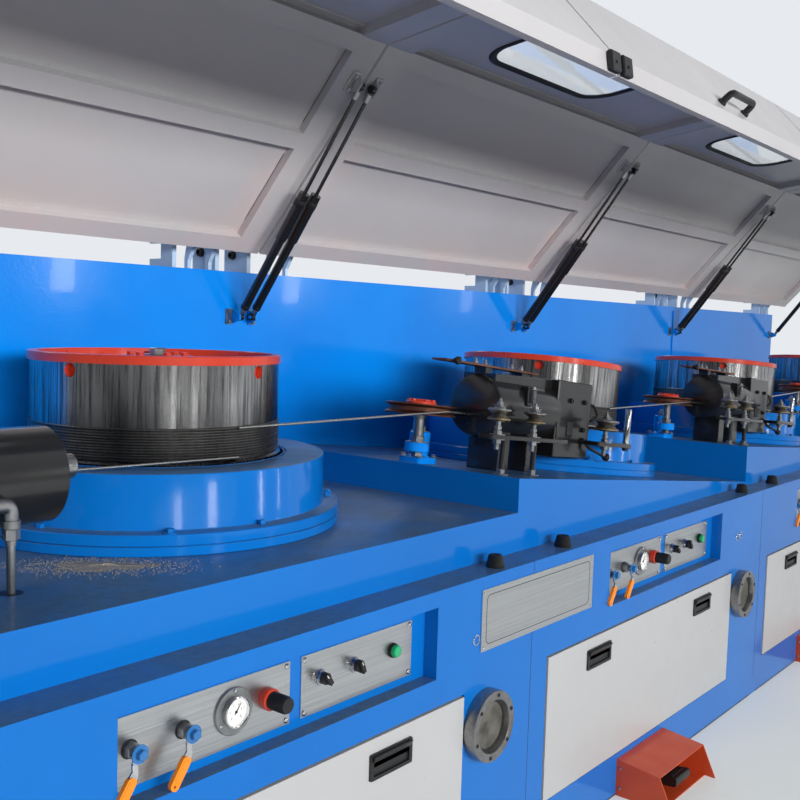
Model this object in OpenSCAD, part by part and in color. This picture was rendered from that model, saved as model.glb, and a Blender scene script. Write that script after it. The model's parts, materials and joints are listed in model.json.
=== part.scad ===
// Straight-line wire drawing machine: a row of four drawing blocks in one cabinet.
// Each block has a powered drum in a ring housing, a die box ahead of it, a
// front cabinet with controls, and a hinged hood held up by gas struts.
// Millimetres. Origin on the floor at the middle of the row, +Z up, front at -Y.

/* [Cabinet] */
// Distance from one block to the next
pitch = 1500; // [1400:10:1700]
// Depth from the front face to the back wall
base_d = 1030; // [1000:10:1200]
// Height of the front ledge that the hoods close onto
ledge_z = 724; // [680:2:760]
// How far the deck stands back behind the front face
ledge_d = 82; // [70:1:90]
// Height of the level deck of the first block
first_deck_z = 819; // [790:1:840]
// Height of a sloped deck at its low end
low_deck_z = 738; // [730:1:760]
// Slope of the second deck in degrees
second_slope = 6.2; // [4:0.1:7]
// Slope of the decks after the second in degrees
later_slope = 4.8; // [4:0.1:6]
// How far a sloped deck starts beyond the cabinet joint
step_u = 50; // [40:1:70]

/* [Back wall] */
// Thickness of the back wall
wall_t = 100; // [60:5:140]
// Height of the back wall
wall_z = 1397; // [1380:1:1420]
// Width of the cover strip on the wall at the last joint
strip_w = 24; // [12:1:28]

/* [Front] */
// Left edge of the control recess
recess_u = 377; // [360:1:400]
// Width of the control recess
recess_w = 758; // [740:1:800]
// Bottom height of the control recess
recess_z = 540; // [520:1:550]
// Height of the control recess
recess_h = 150; // [140:1:170]
// Depth of the control recess
recess_d = 34; // [28:1:45]
// Left edge of the door
door_u = 76; // [60:1:100]
// Width of the door
door_w = 1156; // [1080:2:1180]
// Bottom height of the door
door_z = 122; // [100:1:140]
// Height of the door
door_h = 356; // [320:1:380]
// Thickness of the door
door_t = 20; // [14:1:26]
// How far the door stands proud of the front face
door_proud = 3; // [1:0.5:6]
// Gap round the door
door_gap = 4; // [3:0.5:6]
// Centre of the sight port along a block
port_u = 1312; // [1310:1:1330]
// Centre height of the sight port
port_z = 397; // [380:1:410]
// Outer diameter of the sight port flange
port_d = 156; // [140:1:160]
// Width of the name plate
name_w = 490; // [400:5:560]
// Height of the name plate
name_h = 136; // [100:2:140]

/* [Drums] */
// Place of the first drum axis along its block
first_drum_u = 905; // [880:5:915]
// Place of the later drum axes along their blocks
drum_u = 890; // [870:5:905]
// Radius of the first drum
first_drum_r = 265; // [255:1:270]
// Radius of the later drums
drum_r = 257; // [245:1:262]
// Distance of the first drum axis from the front face
first_drum_v = 622; // [590:1:622]
// Distance of the later drum axes from the front face
drum_v = 563; // [555:1:575]
// Height of the first drum rim above its deck
first_rim_h = 364; // [350:1:380]
// Height of the later drum rims above their decks
rim_h = 348; // [335:1:360]
// How far the drum rim stands above its ring housing
rim_rise = 216; // [190:1:230]
// Width of the ring housing round the drum
ring_w = 105; // [90:1:110]
// Width of the flange at the foot of the ring housing
foot_w = 36; // [30:1:38]
// Thickness of the flange at the foot of the ring housing
foot_h = 41; // [28:1:45]
// Running gap between a drum and its ring housing
drum_gap = 14; // [10:1:20]
// Diameter of the drawn wire
wire_d = 5.5; // [4:0.5:7]
// Turns of wire on a drum
wire_turns = 12; // [6:1:14]

/* [Guide wheel and rollers] */
// Radius of the guide wheel
wheel_r = 92; // [84:1:96]
// Height of the wire line above a sloped deck
wire_h = 142; // [136:1:150]
// Radius of the line rollers
roller_r = 29; // [26:1:32]
// Distance of the line rollers from the front face
roller_v = 168; // [155:1:175]

/* [Die box] */
// Diameter of the die box
box_d = 165; // [150:1:172]
// Height of the die box axis above the deck
box_h = 168; // [160:1:180]

/* [Hood] */
// Gap between two hoods
hood_gap = 10; // [8:1:16]
// Thickness of the hood sheet
hood_t = 4; // [3:0.5:6]
// Width of the frame members inside the hood
hood_rib_w = 92; // [40:1:100]
// Depth of the frame members inside the hood
hood_rib_d = 26; // [20:1:32]
// Width of the hood window
window_w = 620; // [500:10:700]
// Length of the hood window along the panel
window_l = 300; // [220:5:320]
// Corner radius of the hood window
window_r = 90; // [40:1:110]

/* [Gas strut] */
// Diameter of the strut cylinder
strut_d = 24; // [20:1:28]
// Diameter of the strut rod
strut_rod_d = 10; // [8:1:12]
// Length of the strut cylinder
strut_l = 420; // [410:1:430]
// Distance of a strut from the end of its hood
strut_u = 22; // [20:1:28]

/* [Foot pedal] */
// Width of the pedal guard
guard_w = 290; // [240:2:320]
// Depth of the pedal guard at the floor
guard_d = 165; // [140:1:190]
// Height of the pedal guard
guard_h = 101; // [90:1:120]
// Left edge of the pedal guard
guard_u = 466; // [450:1:520]

/* [Hidden] */
$fn = 48;

// Four blocks, counted from 0, with the row centred on the origin
blocks = [0, 1, 2, 3];
sloped_blocks = [1, 2, 3];
joints = [1, 2, 3];
front_y = -(base_d + wall_t) / 2;
function block_x(i) = (i - len(blocks) / 2) * pitch;

// Clearances
fit = 0.3;
eps = 1;
seam = 0.5;

// Deck heights: the first is level, the others fall away to the right
function slope(i) = i == 0 ? 0 : i == 1 ? second_slope : later_slope;
function deck_z(i, u) = i == 0 ? first_deck_z
  : low_deck_z + (pitch + step_u - u) * tan(slope(i));
function deck_r(i) = i == 0 ? first_drum_r : drum_r;
function axis_u(i) = i == 0 ? first_drum_u : drum_u;
function axis_v(i) = i == 0 ? first_drum_v : drum_v;
function top_h(i) = i == 0 ? first_rim_h : rim_h;
function ring_h(i) = top_h(i) - rim_rise;

// Stands a block at its place, with its own front left foot as origin
module at_block(i) {
  translate([block_x(i), front_y, 0]) children();
}

// Stands a thing on a deck: along the slope from the drum axis, from the front, above the deck
module on_deck(i, v = 0) {
  at_block(i) translate([axis_u(i), v, deck_z(i, axis_u(i))]) rotate([0, slope(i), 0]) children();
}

// Turns an outline in the depth and height plane into a bar along the row
module along_row(length) {
  rotate([90, 0, 90]) linear_extrude(length) children();
}

module round_rect(w, l, r) {
  square([w - 2 * r, l], center = true);
  square([w, l - 2 * r], center = true);
  for (x = [-1, 1], y = [-1, 1]) translate([x * (w / 2 - r), y * (l / 2 - r)]) circle(r);
}

module hex_prism(across, h) {
  cylinder(d = across / cos(30), h = h, $fn = 6);
}

// Cabinet and deck of one block
plate_u = recess_u + 8;
module block_frame(i) {
  color("royalblue") at_block(i) difference() {
    union() {
      cube([pitch, base_d, ledge_z]);
      translate([0, base_d, 0]) rotate([90, 0, 0]) linear_extrude(base_d - ledge_d)
        polygon(i == 0
          ? [[0, ledge_z - eps], [0, first_deck_z], [pitch, first_deck_z], [pitch, ledge_z - eps]]
          : [[0, ledge_z - eps], [0, deck_z(i - 1, pitch)], [step_u, deck_z(i - 1, pitch + step_u)],
             [step_u, deck_z(i, step_u)], [pitch, deck_z(i, pitch)], [pitch, ledge_z - eps]]);
    }
    translate([recess_u, -eps, recess_z]) cube([recess_w, recess_d + eps, recess_h]);
    translate([door_u - door_gap, -eps, door_z - door_gap])
      cube([door_w + 2 * door_gap, door_t - door_proud + eps, door_h + 2 * door_gap]);
  }
}

// Back wall behind all blocks, with a cover strip at the last joint
strip_t = 6;
module back_wall() {
  strip_z = deck_z(2, pitch - strip_w / 2) + fit;
  color("dodgerblue") {
    translate([block_x(0), front_y + base_d, 0]) cube([len(blocks) * pitch, wall_t, wall_z]);
    translate([block_x(3) - strip_w / 2, front_y + base_d - strip_t, strip_z])
      cube([strip_w, strip_t + eps, wall_z - 20 - strip_z]);
  }
}

// Hinge line of the hoods, and the hood profile with the hood held open
hinge_v = base_d - 18;
hinge_z = wall_z + 87;
hinge_pin_r = 8;
knuckle_r = 15;
knuckle_w = 60;
knuckle_end = 150;
lug_w = 12;
hood_w = pitch - hood_gap;
edge = [hinge_v - 40, hinge_z - 18];
bend = [hinge_v - 509, hinge_z + 501];
fold = [hinge_v - 972, hinge_z + 564];
crease = [hinge_v - 1162, hinge_z + 354];
lip = [hinge_v - 1168, hinge_z + 313];

// Knuckle centres of one hood, along the block
knuckles = [knuckle_end, pitch - knuckle_end];

// Hinge lugs on top of the wall with their pins, and upright plates square to the row
bracket_t = 14;
bracket_h = 82;
slotted_u = 1262;
bracket_us = [31, slotted_u, 1412];
module hinge_bracket(u) {
  difference() {
    translate([u - bracket_t / 2, base_d, wall_z + fit]) cube([bracket_t, wall_t, bracket_h]);
    if (u == slotted_u) translate([u - bracket_t, base_d + 50, wall_z + 24]) cube([2 * bracket_t, wall_t, 42]);
    else translate([u - bracket_t, base_d + 62, wall_z + 52]) rotate([0, 90, 0]) cylinder(r = 14, h = 2 * bracket_t);
  }
}
module hinge_lugs(u) {
  for (s = [-1, 1]) translate([u + s * (knuckle_w / 2 + lug_w / 2 + seam) - lug_w / 2, 0, 0])
    along_row(lug_w) union() {
      translate([hinge_v, hinge_z]) circle(knuckle_r + 3);
      polygon([[hinge_v - 14, hinge_z - 12], [base_d + bracket_t, wall_z + 30],
        [base_d + bracket_t, wall_z + fit], [base_d, wall_z + fit], [base_d, wall_z + 22]]);
      polygon([[hinge_v - 14, hinge_z - 12], [hinge_v + 16, hinge_z + 8],
        [base_d + bracket_t, wall_z + 30], [base_d, wall_z + 22]]);
    }
  translate([u - knuckle_w / 2 - lug_w - 6, hinge_v, hinge_z]) rotate([0, 90, 0])
    cylinder(r = hinge_pin_r, h = knuckle_w + 2 * lug_w + 12);
}
module hinge_brackets() {
  color("cornflowerblue") {
    for (i = blocks) at_block(i) {
      for (u = knuckles) hinge_lugs(u);
      for (u = bracket_us) hinge_bracket(u);
    }
  }
}

// Thick line through a list of points, pushed to one side with mitred corners
function unit(a) = a / norm(a);
function left_of(a, b) = let (d = unit(b - a)) [-d[1], d[0]];
function pushed(p, i, t) = let (
    n1 = left_of(p[max(i - 1, 0)], p[max(i, 1)]),
    n2 = left_of(p[min(i, len(p) - 2)], p[min(i + 1, len(p) - 1)]),
    m = unit(n1 + n2))
  p[i] + m * t / (m * n1);
function band(p, t0, t1) = concat([for (i = [0:len(p) - 1]) pushed(p, i, t0)],
  [for (i = [len(p) - 1:-1:0]) pushed(p, i, t1)]);
hood_line = [edge, bend, fold, crease, lip];

// Window frame of the hood: middle and direction of the front panel
panel_dir = unit(fold - bend);
panel_angle = atan2(panel_dir[1], panel_dir[0]);
window_s = 0.505 * norm(fold - bend);
window_mid = bend + panel_dir * window_s;
module on_panel() {
  translate([0, window_mid[0], window_mid[1]]) rotate([panel_angle - 180, 0, 0]) children();
}
window_u = 612;
module window_hole(grow, t, z) {
  translate([window_u, 0, 0]) on_panel() translate([0, 0, z])
    linear_extrude(t) round_rect(window_w + 2 * grow, window_l + 2 * grow, window_r + grow);
}

// Hood: bent sheet with box members along both ends and cross ribs
module hood(i) {
  color("whitesmoke") at_block(i) {
    difference() {
      union() {
        translate([hood_gap / 2, 0, 0]) along_row(hood_w) polygon(band(hood_line, 0, hood_t));
        for (u = [hood_gap / 2, hood_gap / 2 + hood_w - hood_rib_w]) translate([u, 0, 0])
          along_row(hood_rib_w) polygon(band([edge, bend, fold], hood_t - seam, hood_rib_d));
        translate([hood_gap / 2, 0, 0]) along_row(hood_w) {
          hood_rib(edge, bend, 2);
          hood_rib(edge, bend, norm(bend - edge) / 2);
          hood_rib(edge, bend, norm(bend - edge) - cross_w - 6);
          hood_rib(bend, fold, norm(fold - bend) - cross_w - 6);
        }
        for (u = knuckles) hood_knuckle(u);
        for (u = [strut_u, pitch - strut_u]) strut_ear(u);
      }
      window_hole(0, 60, -30);
      for (u = knuckles) translate([u - knuckle_w / 2 - eps, hinge_v, hinge_z]) rotate([0, 90, 0])
        cylinder(r = hinge_pin_r + fit, h = knuckle_w + 2 * eps);
    }
  }
}
cross_w = 48;
module hood_rib(a, b, s) {
  d = unit(b - a);
  n = left_of(a, b);
  p = a + d * s;
  polygon([p + n * (hood_t - seam), p + d * cross_w + n * (hood_t - seam),
    p + d * cross_w + n * hood_rib_d, p + n * hood_rib_d]);
}
module hood_knuckle(u) {
  translate([u - knuckle_w / 2, 0, 0]) along_row(knuckle_w) {
    translate([hinge_v, hinge_z]) circle(knuckle_r);
    polygon([edge, edge + unit(bend - edge) * 30, [hinge_v - 4, hinge_z + 13], [hinge_v - 8, hinge_z - 11]]);
  }
}

// Gas strut pivots, with the hood open
low_pivot = [base_d - 27, 1268];
high_pivot = [hinge_v - 454, hinge_z + 379];
strut_dir = unit(high_pivot - low_pivot);
strut_angle = atan2(strut_dir[1], strut_dir[0]);
strut_open = norm(high_pivot - low_pivot);
stud_r = 5;
eye_w = 12;
function strut_out(u) = u < pitch / 2 ? 1 : -1;
module strut_ear(u) {
  // The ear stands on the inboard side of the strut eye, its stud points at the eye
  s = strut_out(u);
  n = left_of(edge, bend);
  d = unit(bend - edge);
  foot = high_pivot - n * ((high_pivot - edge) * n - hood_rib_d + 4);
  translate([u + s * (eye_w / 2 + 2 + 3) - 3, 0, 0]) along_row(6)
    polygon([foot - d * 30, foot + d * 30, high_pivot + d * 12 + n * 10, high_pivot - d * 12 + n * 10]);
  translate([u + s * (eye_w / 2 + 2 + 3), high_pivot[0], high_pivot[1]]) rotate([0, -s * 90, 0])
    cylinder(r = stud_r, h = 3 + 2 - fit - 0.2);
}

// Wall brackets that carry the struts
module strut_brackets() {
  color("silver") for (i = blocks) at_block(i) for (u = [strut_u, pitch - strut_u]) strut_bracket(u);
}
module strut_bracket(u) {
  s = strut_out(u);
  translate([u + s * (eye_w / 2 + fit + 2.5) - 2.5, 0, 0]) along_row(5)
    polygon([[base_d, low_pivot[1] - 22], [base_d, low_pivot[1] + 22],
      [low_pivot[0] - 10, low_pivot[1] + 8], [low_pivot[0] - 10, low_pivot[1] - 8]]);
  translate([u + s * (eye_w / 2 + fit + 2.5), low_pivot[0], low_pivot[1]]) rotate([0, -s * 90, 0])
    cylinder(r = stud_r, h = eye_w + 2.5 + 3);
}

// Puts a thing on the strut line: X stays, Z runs up the strut
module on_strut(u) {
  translate([u, low_pivot[0], low_pivot[1]]) rotate([strut_angle - 90, 0, 0]) children();
}
module strut_cylinders(i) {
  color("black") at_block(i) for (u = [strut_u, pitch - strut_u]) on_strut(u) difference() {
    union() {
      translate([-eye_w / 2, 0, 0]) rotate([0, 90, 0]) cylinder(r = stud_r + 6, h = eye_w);
      cylinder(d = eye_w, h = 40);
      translate([0, 0, 30]) cylinder(d = strut_d, h = strut_l - 30);
      translate([0, 0, strut_l - 150]) cylinder(d = strut_d + 6, h = 150);
    }
    translate([-eye_w / 2 - eps, 0, 0]) rotate([0, 90, 0]) cylinder(r = stud_r + fit, h = eye_w + 2 * eps);
    translate([0, 0, 60]) cylinder(d = strut_rod_d + 2 * fit, h = strut_l);
  }
}
strut_rod_in = 30;
module strut_rods(i) {
  color("dimgray") at_block(i) for (u = [strut_u, pitch - strut_u]) on_strut(u) {
    translate([0, 0, strut_l - strut_rod_in]) cylinder(d = strut_rod_d, h = strut_open - strut_l + strut_rod_in - 10);
    translate([-eye_w / 2, 0, strut_open]) rotate([0, 90, 0]) cylinder(r = 11, h = eye_w);
  }
}

// Ring housing with a shallow well, and a bore for the drum spindle
spindle_r = 35;
hub_r = 75;
function well_z(i) = ring_h(i) - 26;
module capstan_bases() {
  color("dodgerblue") for (i = blocks) on_deck(i, axis_v(i)) {
    in_r = deck_r(i) + drum_gap;
    out_r = deck_r(i) + ring_w;
    rotate_extrude() polygon([
      [spindle_r + fit, fit], [out_r + foot_w, fit], [out_r + foot_w, foot_h], [out_r, foot_h],
      [out_r, ring_h(i)], [in_r, ring_h(i)], [in_r, well_z(i)], [spindle_r + fit, well_z(i)]]);
  }
}

// Drum: spindle, hub, web, shell, turns of wire, red rim and four holes near the rim
rim_t = 18;
rim_out = 5;
shell_t = 14;
bowl_d = 75;
hole_r = 14;
module capstan(i) {
  r = deck_r(i);
  top = top_h(i);
  low = ring_h(i) + 8;
  bead = wire_d / 2;
  color("silver") on_deck(i, axis_v(i)) difference() {
    rotate_extrude() polygon(concat(
      [[0, foot_h], [spindle_r, foot_h], [spindle_r, well_z(i) + seam], [hub_r, well_z(i) + seam],
        [hub_r, top - bowl_d - 16], [r - shell_t, top - bowl_d - 16], [r - shell_t, ring_h(i) - 20],
        [r + 7, ring_h(i) - 20], [r + 7, ring_h(i) + 2], [r, low]],
      [for (k = [0:wire_turns - 1], a = [-60:30:90]) [r + bead * cos(a), low + wire_d * (k + 0.5) + bead * sin(a)]],
      [[r, top - rim_t], [r + rim_out, top - rim_t], [r + rim_out, top], [r - shell_t, top],
        [r - shell_t, top - bowl_d], [80, top - bowl_d], [60, top - bowl_d + 6], [60, top - 16],
        [77, top - 16], [77, top - 8], [0, top - 8]]));
    for (a = [0:90:270]) rotate([0, 0, a + hole_turn(i)]) translate([r - 40, 0, top - rim_t - 15])
      rotate([0, 90, 0]) cylinder(r = hole_r, h = 80);
  }
}
function hole_turn(i) = i == 0 ? 14 : 29.5;

// Front cabinet pieces
module front_row() {
  for (i = blocks) at_block(i) children();
}
module access_doors() {
  color("whitesmoke") front_row() translate([door_u, -door_proud, door_z]) cube([door_w, door_t, door_h]);
}
handle_w = 125;
handle_h = 52;
handle_t = 5;
handles_u = [door_u + 189, door_u + 853];
handle_z = door_z + 276;
module door_handles() {
  color("black") front_row() for (u = handles_u) translate([u, -door_proud - handle_t, handle_z]) difference() {
    union() {
      cube([handle_w, handle_t, handle_h]);
      translate([8, -6, handle_h - 24]) cube([handle_w - 16, 7, 18]);
    }
    translate([12, -eps, 6]) cube([handle_w - 24, 4 + eps, handle_h - 32]);
  }
}
port_t = 30;
module sight_ports() {
  color("silver") front_row() translate([port_u, 0, port_z]) rotate([90, 0, 0]) rotate_extrude() polygon([
    [0, 0], [port_d / 2, 0], [port_d / 2, port_t - 3], [port_d / 2 - 3, port_t],
    [port_d / 2 - 26, port_t], [port_d / 2 - 38, port_t - 24], [0, port_t - 24]]);
}
bumper_d = 42;
bumper_h = 28;
bumper_us = [188, 1390];
module rubber_bumpers() {
  color("black") front_row() for (u = bumper_us) translate([u, 36, ledge_z]) rotate_extrude() polygon([
    [0, 0], [bumper_d / 2, 0], [bumper_d / 2, 6], [bumper_d / 2 - 6, bumper_h], [5, bumper_h], [5, bumper_h - 8],
    [0, bumper_h - 8]]);
}

// Control plates in the recess, and the name plate over the first cabinet joint
plate_t = 3;
plate_z = recess_z + 16;
plate_h = 112;
valve_plate_w = 365;
switch_plate_u = plate_u + valve_plate_w + 28;
switch_plate_w = 311;
name_u = pitch - 212;
name_z = 560;
module face_plates() {
  color("silver") {
    front_row() {
      translate([plate_u, recess_d - plate_t, plate_z]) cube([valve_plate_w, plate_t, plate_h]);
      translate([switch_plate_u, recess_d - plate_t, plate_z]) cube([switch_plate_w, plate_t, plate_h]);
    }
    at_block(0) translate([name_u, -plate_t, name_z]) cube([name_w, plate_t, name_h]);
  }
}
plate_v = recess_d - plate_t;
control_z = plate_z + 60;
module on_plate(u, z = control_z) {
  translate([plate_u + u, plate_v, z]) rotate([90, 0, 0]) children();
}
gauge_d = 80;
gauge_t = 20;
module pressure_gauges() {
  color("silver") front_row() on_plate(236) difference() {
    union() {
      cylinder(d = gauge_d, h = 8);
      cylinder(d = gauge_d - 14, h = gauge_t);
    }
    translate([0, 0, gauge_t - 3]) cylinder(d = gauge_d - 22, h = 3 + eps);
  }
}
valves_u = [34, 133];
// The levers turn just in front of the cabinet face, clear of the edge of the recess
valve_h = recess_d - plate_t + 1;
module ball_valves() {
  color("steelblue") front_row() for (u = valves_u) on_plate(u) {
    hex_prism(27, 12);
    cylinder(d = 20, h = 24);
    translate([0, 0, 22]) rotate([0, 0, 30]) hex_prism(14, valve_h - 22);
  }
}
lever_l = 76;
module valve_levers() {
  color("orange") front_row() for (u = valves_u) on_plate(u) translate([0, 0, valve_h + fit])
    rotate([0, 0, -34]) {
    cylinder(d = 18, h = 4);
    translate([-8, -lever_l, 0]) cube([16, lever_l, 4]);
    translate([-8, -lever_l, 0]) cube([16, lever_l * 0.62, 9]);
  }
}
switches_u = [441, 532];
module selector_switches() {
  color("black") front_row() for (u = switches_u) on_plate(u, control_z + 4) {
    cylinder(d = 30, h = 6);
    cylinder(d = 25, h = 18);
    rotate([0, 0, 35]) translate([-5, -14, 0]) cube([10, 28, 26]);
  }
}
module signal_lamps() {
  color("seagreen") front_row() on_plate(645, control_z + 4) {
    cylinder(d = 29, h = 6);
    cylinder(d = 23, h = 16);
  }
}
module air_regulators() {
  color("firebrick") front_row() on_plate(312) {
    cylinder(d = 38, h = 14);
    cylinder(d = 30, h = 52);
  }
}

// Foot pedals in folded guards
guard_t = 3;
module guard_outline(t) {
  polygon([[-t, 0], [-guard_d + t, 0], [-guard_d + 40 + t, guard_h * 0.86 - t], [-t, guard_h - t]]);
}
module pedal_guards() {
  color("orangered") front_row() translate([guard_u, 0, 0]) {
    along_row(guard_t) guard_outline(0);
    translate([guard_w - guard_t, 0, 0]) along_row(guard_t) guard_outline(0);
    along_row(guard_w) polygon([[0, guard_h - guard_t], [0, guard_h], [-guard_d + 40, guard_h * 0.86],
      [-guard_d + 40.5, guard_h * 0.86 - guard_t]]);
    along_row(guard_w) polygon([[0, 0], [0, guard_h], [-guard_t, guard_h], [-guard_t, 0]]);
    translate([0, -guard_d + 30, 0]) cube([guard_w, guard_d - 30, guard_t]);
    for (s = [-1, 1]) translate([guard_w / 2 + s * (pedal_w / 2 + 11) - 6, pedal_pivot[0] - 10, guard_t - seam])
      cube([12, 20, 34]);
    translate([guard_w / 2 - pedal_w / 2 - 21, pedal_pivot[0], pedal_pivot[1]]) rotate([0, 90, 0])
      cylinder(r = 4, h = pedal_w + 42);
  }
}
pedal_w = 90;
pedal_pivot = [-30, 27];
module pedal(i) {
  color("black") at_block(i) translate([guard_u + guard_w / 2, pedal_pivot[0], pedal_pivot[1]]) difference() {
    union() {
      translate([-pedal_w / 2, 0, 0]) rotate([0, 90, 0]) cylinder(r = 9, h = pedal_w);
      translate([-pedal_w / 2, 0, 0]) along_row(pedal_w)
        polygon([[-5, 7], [-5, -7], [-95, 0], [-100, 4], [-100, 22], [-90, 24]]);
    }
    translate([-pedal_w / 2 - eps, 0, 0]) rotate([0, 90, 0]) cylinder(r = 4 + fit, h = pedal_w + 2 * eps);
  }
}

// Die boxes: horizontal cylinders ahead of each drum
box_r = box_d / 2;
box_head_w = 191;
box_top = box_h + box_r;
lid_a = -885;
lid_l = 445;
function box_v(i) = axis_v(i) - deck_r(i) - wire_d / 2;
function box_from(i) = i == 0 ? -806 : -744;
function box_to(i) = i == 0 ? -426 : -436;
module die_boxes() {
  color("black") for (i = blocks) on_deck(i, box_v(i)) difference() {
    union() {
      translate([box_from(i), 0, box_h]) rotate([0, 90, 0]) cylinder(r = box_r, h = box_to(i) - box_from(i));
      translate([box_to(i), 0, box_h]) rotate([0, 90, 0]) cylinder(r = 30, h = 30);
      for (a = [box_from(i) + (i == 0 ? 20 : 60), i == 0 ? box_from(i) + 110 : box_to(i) - 110])
        translate([a, -50, fit]) cube([50, 100, box_h]);
      if (i > 0) {
        translate([0, 52, 0]) rotate([90, 0, 0]) linear_extrude(102) polygon([
          [box_from(i) + 14, box_h], [box_from(i) + 14, box_top + 2], [box_to(i) + 20, box_top + 12],
          [box_to(i) + 20, box_h]]);
        translate([box_to(i) - 10, -75, foot_h + 4]) cube([box_head_w, 60, box_top + 12 - foot_h - 4]);
        for (a = [box_from(i) + 40, box_from(i) + 220]) translate([a, 0, box_top - 3]) cube([30, 40, 24]);
        translate([lid_a, -3, box_top + 20]) cube([lid_l, 50, 5]);
        translate([lid_a + 34, -2, box_top + 22.5]) rotate([90, 0, 0]) cylinder(r = 11, h = 19);
      }
    }
    translate([box_from(i) - eps, 0, wire_line(i)]) rotate([0, 90, 0]) cylinder(d = wire_d + 1, h = 800);
  }
}
function wire_line(i) = i == 0 ? ring_h(i) + 20 : wire_h;

// Line rollers on their plate, ahead of the die box
rollers_a = [-827, -661];
last_roller_a = -266;
stand_h = 88;
module roller() {
  rotate_extrude() polygon([[6 + fit, -17], [roller_r - 4, -17], [roller_r, -13], [roller_r, -10], [roller_r - 9, -2],
    [roller_r - 9, 2], [roller_r, 10], [roller_r, 13], [roller_r - 4, 17], [6 + fit, 17]]);
}
module line_rollers() {
  color("gray") for (i = sloped_blocks) on_deck(i, roller_v)
    for (a = concat(rollers_a, last_roller_a)) translate([a, 0, wire_h + 6]) roller();
}
module roller_stands() {
  color("dimgray") for (i = sloped_blocks) on_deck(i, roller_v) {
    translate([rollers_a[0] - 55, -22, stand_h]) cube([370, 44, 10]);
    for (a = concat(rollers_a, last_roller_a)) translate([a, 0, stand_h - 16]) {
      cylinder(r = 6, h = wire_h + 6 - stand_h + 16 + 24);
      hex_prism(17, 9);
      translate([0, 0, 26 - seam]) hex_prism(17, 10);
      translate([0, 0, wire_h + 6 - stand_h + 16 + 17 + fit]) hex_prism(15, 8);
      translate([0, 0, 36 - seam]) cylinder(r = 9, h = wire_h + 6 - stand_h - 20 - 17 + seam - fit);
    }
    for (a = [rollers_a[0] + 30, rollers_a[1] + 10]) translate([a, 0, fit]) {
      cylinder(r = 7, h = stand_h);
      hex_prism(20, 14);
    }
    translate([last_roller_a - 60, -14, stand_h]) cube([208, 28, 12]);
    translate([last_roller_a + 134, 0, stand_h + 11]) cylinder(r = 10, h = 104);
    translate([last_roller_a - 44, 10, stand_h]) cube([30, box_v(i) - 75 - roller_v - 10 - fit, 12]);
  }
}

// Swing arm of the guide wheel: bracket on the deck, arm with boss, post and nuts
arm_pivot = [-785, 440];
wheel_at = [-860, drum_v - drum_r + wheel_r - 10];
arm_dir = wheel_at - arm_pivot;
arm_h = 58;
module arm_brackets() {
  color("royalblue") for (i = sloped_blocks) on_deck(i) translate([arm_pivot[0], arm_pivot[1], fit]) {
    translate([-38, -38, 0]) cube([76, 76, 16]);
    cylinder(r = 26, h = 32);
    cylinder(r = 9, h = arm_h + 34);
    translate([0, 0, arm_h + 26]) hex_prism(26, 12);
  }
}
module swing_arm(i) {
  color("dodgerblue") on_deck(i) {
    difference() {
      union() {
        translate([arm_pivot[0], arm_pivot[1], 33]) cylinder(r = 28, h = arm_h - 8);
        translate([wheel_at[0], wheel_at[1], 33]) cylinder(r = 32, h = 24);
        translate([arm_pivot[0], arm_pivot[1], 36]) rotate([0, 0, atan2(arm_dir[1], arm_dir[0])])
          translate([0, -18, 0]) cube([norm(arm_dir), 36, 18]);
      }
      translate([arm_pivot[0], arm_pivot[1], 0]) cylinder(r = 9 + fit, h = 200);
    }
    translate([wheel_at[0], wheel_at[1], 0]) {
      translate([0, 0, 20]) hex_prism(26, 14);
      translate([0, 0, 56]) hex_prism(30, 16);
      translate([0, 0, 56]) cylinder(r = 14, h = wire_h - 14 - seam - 56);
      translate([0, 0, 56]) cylinder(r = 8, h = wire_h - 56 + 20);
    }
  }
}
wheel_t = 28;
module guide_wheel(i) {
  color("rosybrown") on_deck(i) translate([wheel_at[0], wheel_at[1], wire_h]) rotate_extrude() polygon([
    [8 + fit, -14], [40, -14], [46, -8], [70, -8], [wheel_r, -wheel_t / 2], [wheel_r, -wheel_t / 2 + 3],
    [wheel_r - 10, -6], [wheel_r - 10, 6], [wheel_r, wheel_t / 2 - 3], [wheel_r, wheel_t / 2],
    [46, wheel_t / 2 - 4], [42, wheel_t / 2 + 12], [0, wheel_t / 2 + 12], [0, 21], [8 + fit, 21]]);
}

// Wire from each drum to the next guide wheel and die box
module wire_between(a, b) {
  d = b - a;
  translate(a) rotate([0, acos(d[2] / norm(d)), atan2(d[1], d[0])]) cylinder(d = wire_d, h = norm(d), $fn = 16);
}
function deck_point(i, a, v, h) = [block_x(i) + axis_u(i) + a * cos(slope(i)) + h * sin(slope(i)), front_y + v,
  deck_z(i, axis_u(i)) - a * sin(slope(i)) + h * cos(slope(i))];
function leave_h(i) = ring_h(i) + 8 + wire_d * (wire_turns - 0.5);
module drawn_wire() {
  color("slategray") {
    for (i = sloped_blocks)
      {
        at_wheel = deck_point(i, wheel_at[0], box_v(i) - 2 * fit, wire_h);
        wire_between(deck_point(i - 1, 0, box_v(i - 1) - wire_d / 2 - fit, leave_h(i - 1)), at_wheel);
        wire_between(at_wheel, deck_point(i, box_from(i) + 5, box_v(i) - fit, wire_h));
        translate(at_wheel) sphere(d = wire_d + 2 * fit);
      }
    for (i = blocks)
      wire_between(deck_point(i, box_to(i) + 25, box_v(i), wire_line(i)),
        deck_point(i, 0, box_v(i) - wire_d / 2 - fit, ring_h(i) + 8 + wire_d / 2));
  }
}

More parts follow.
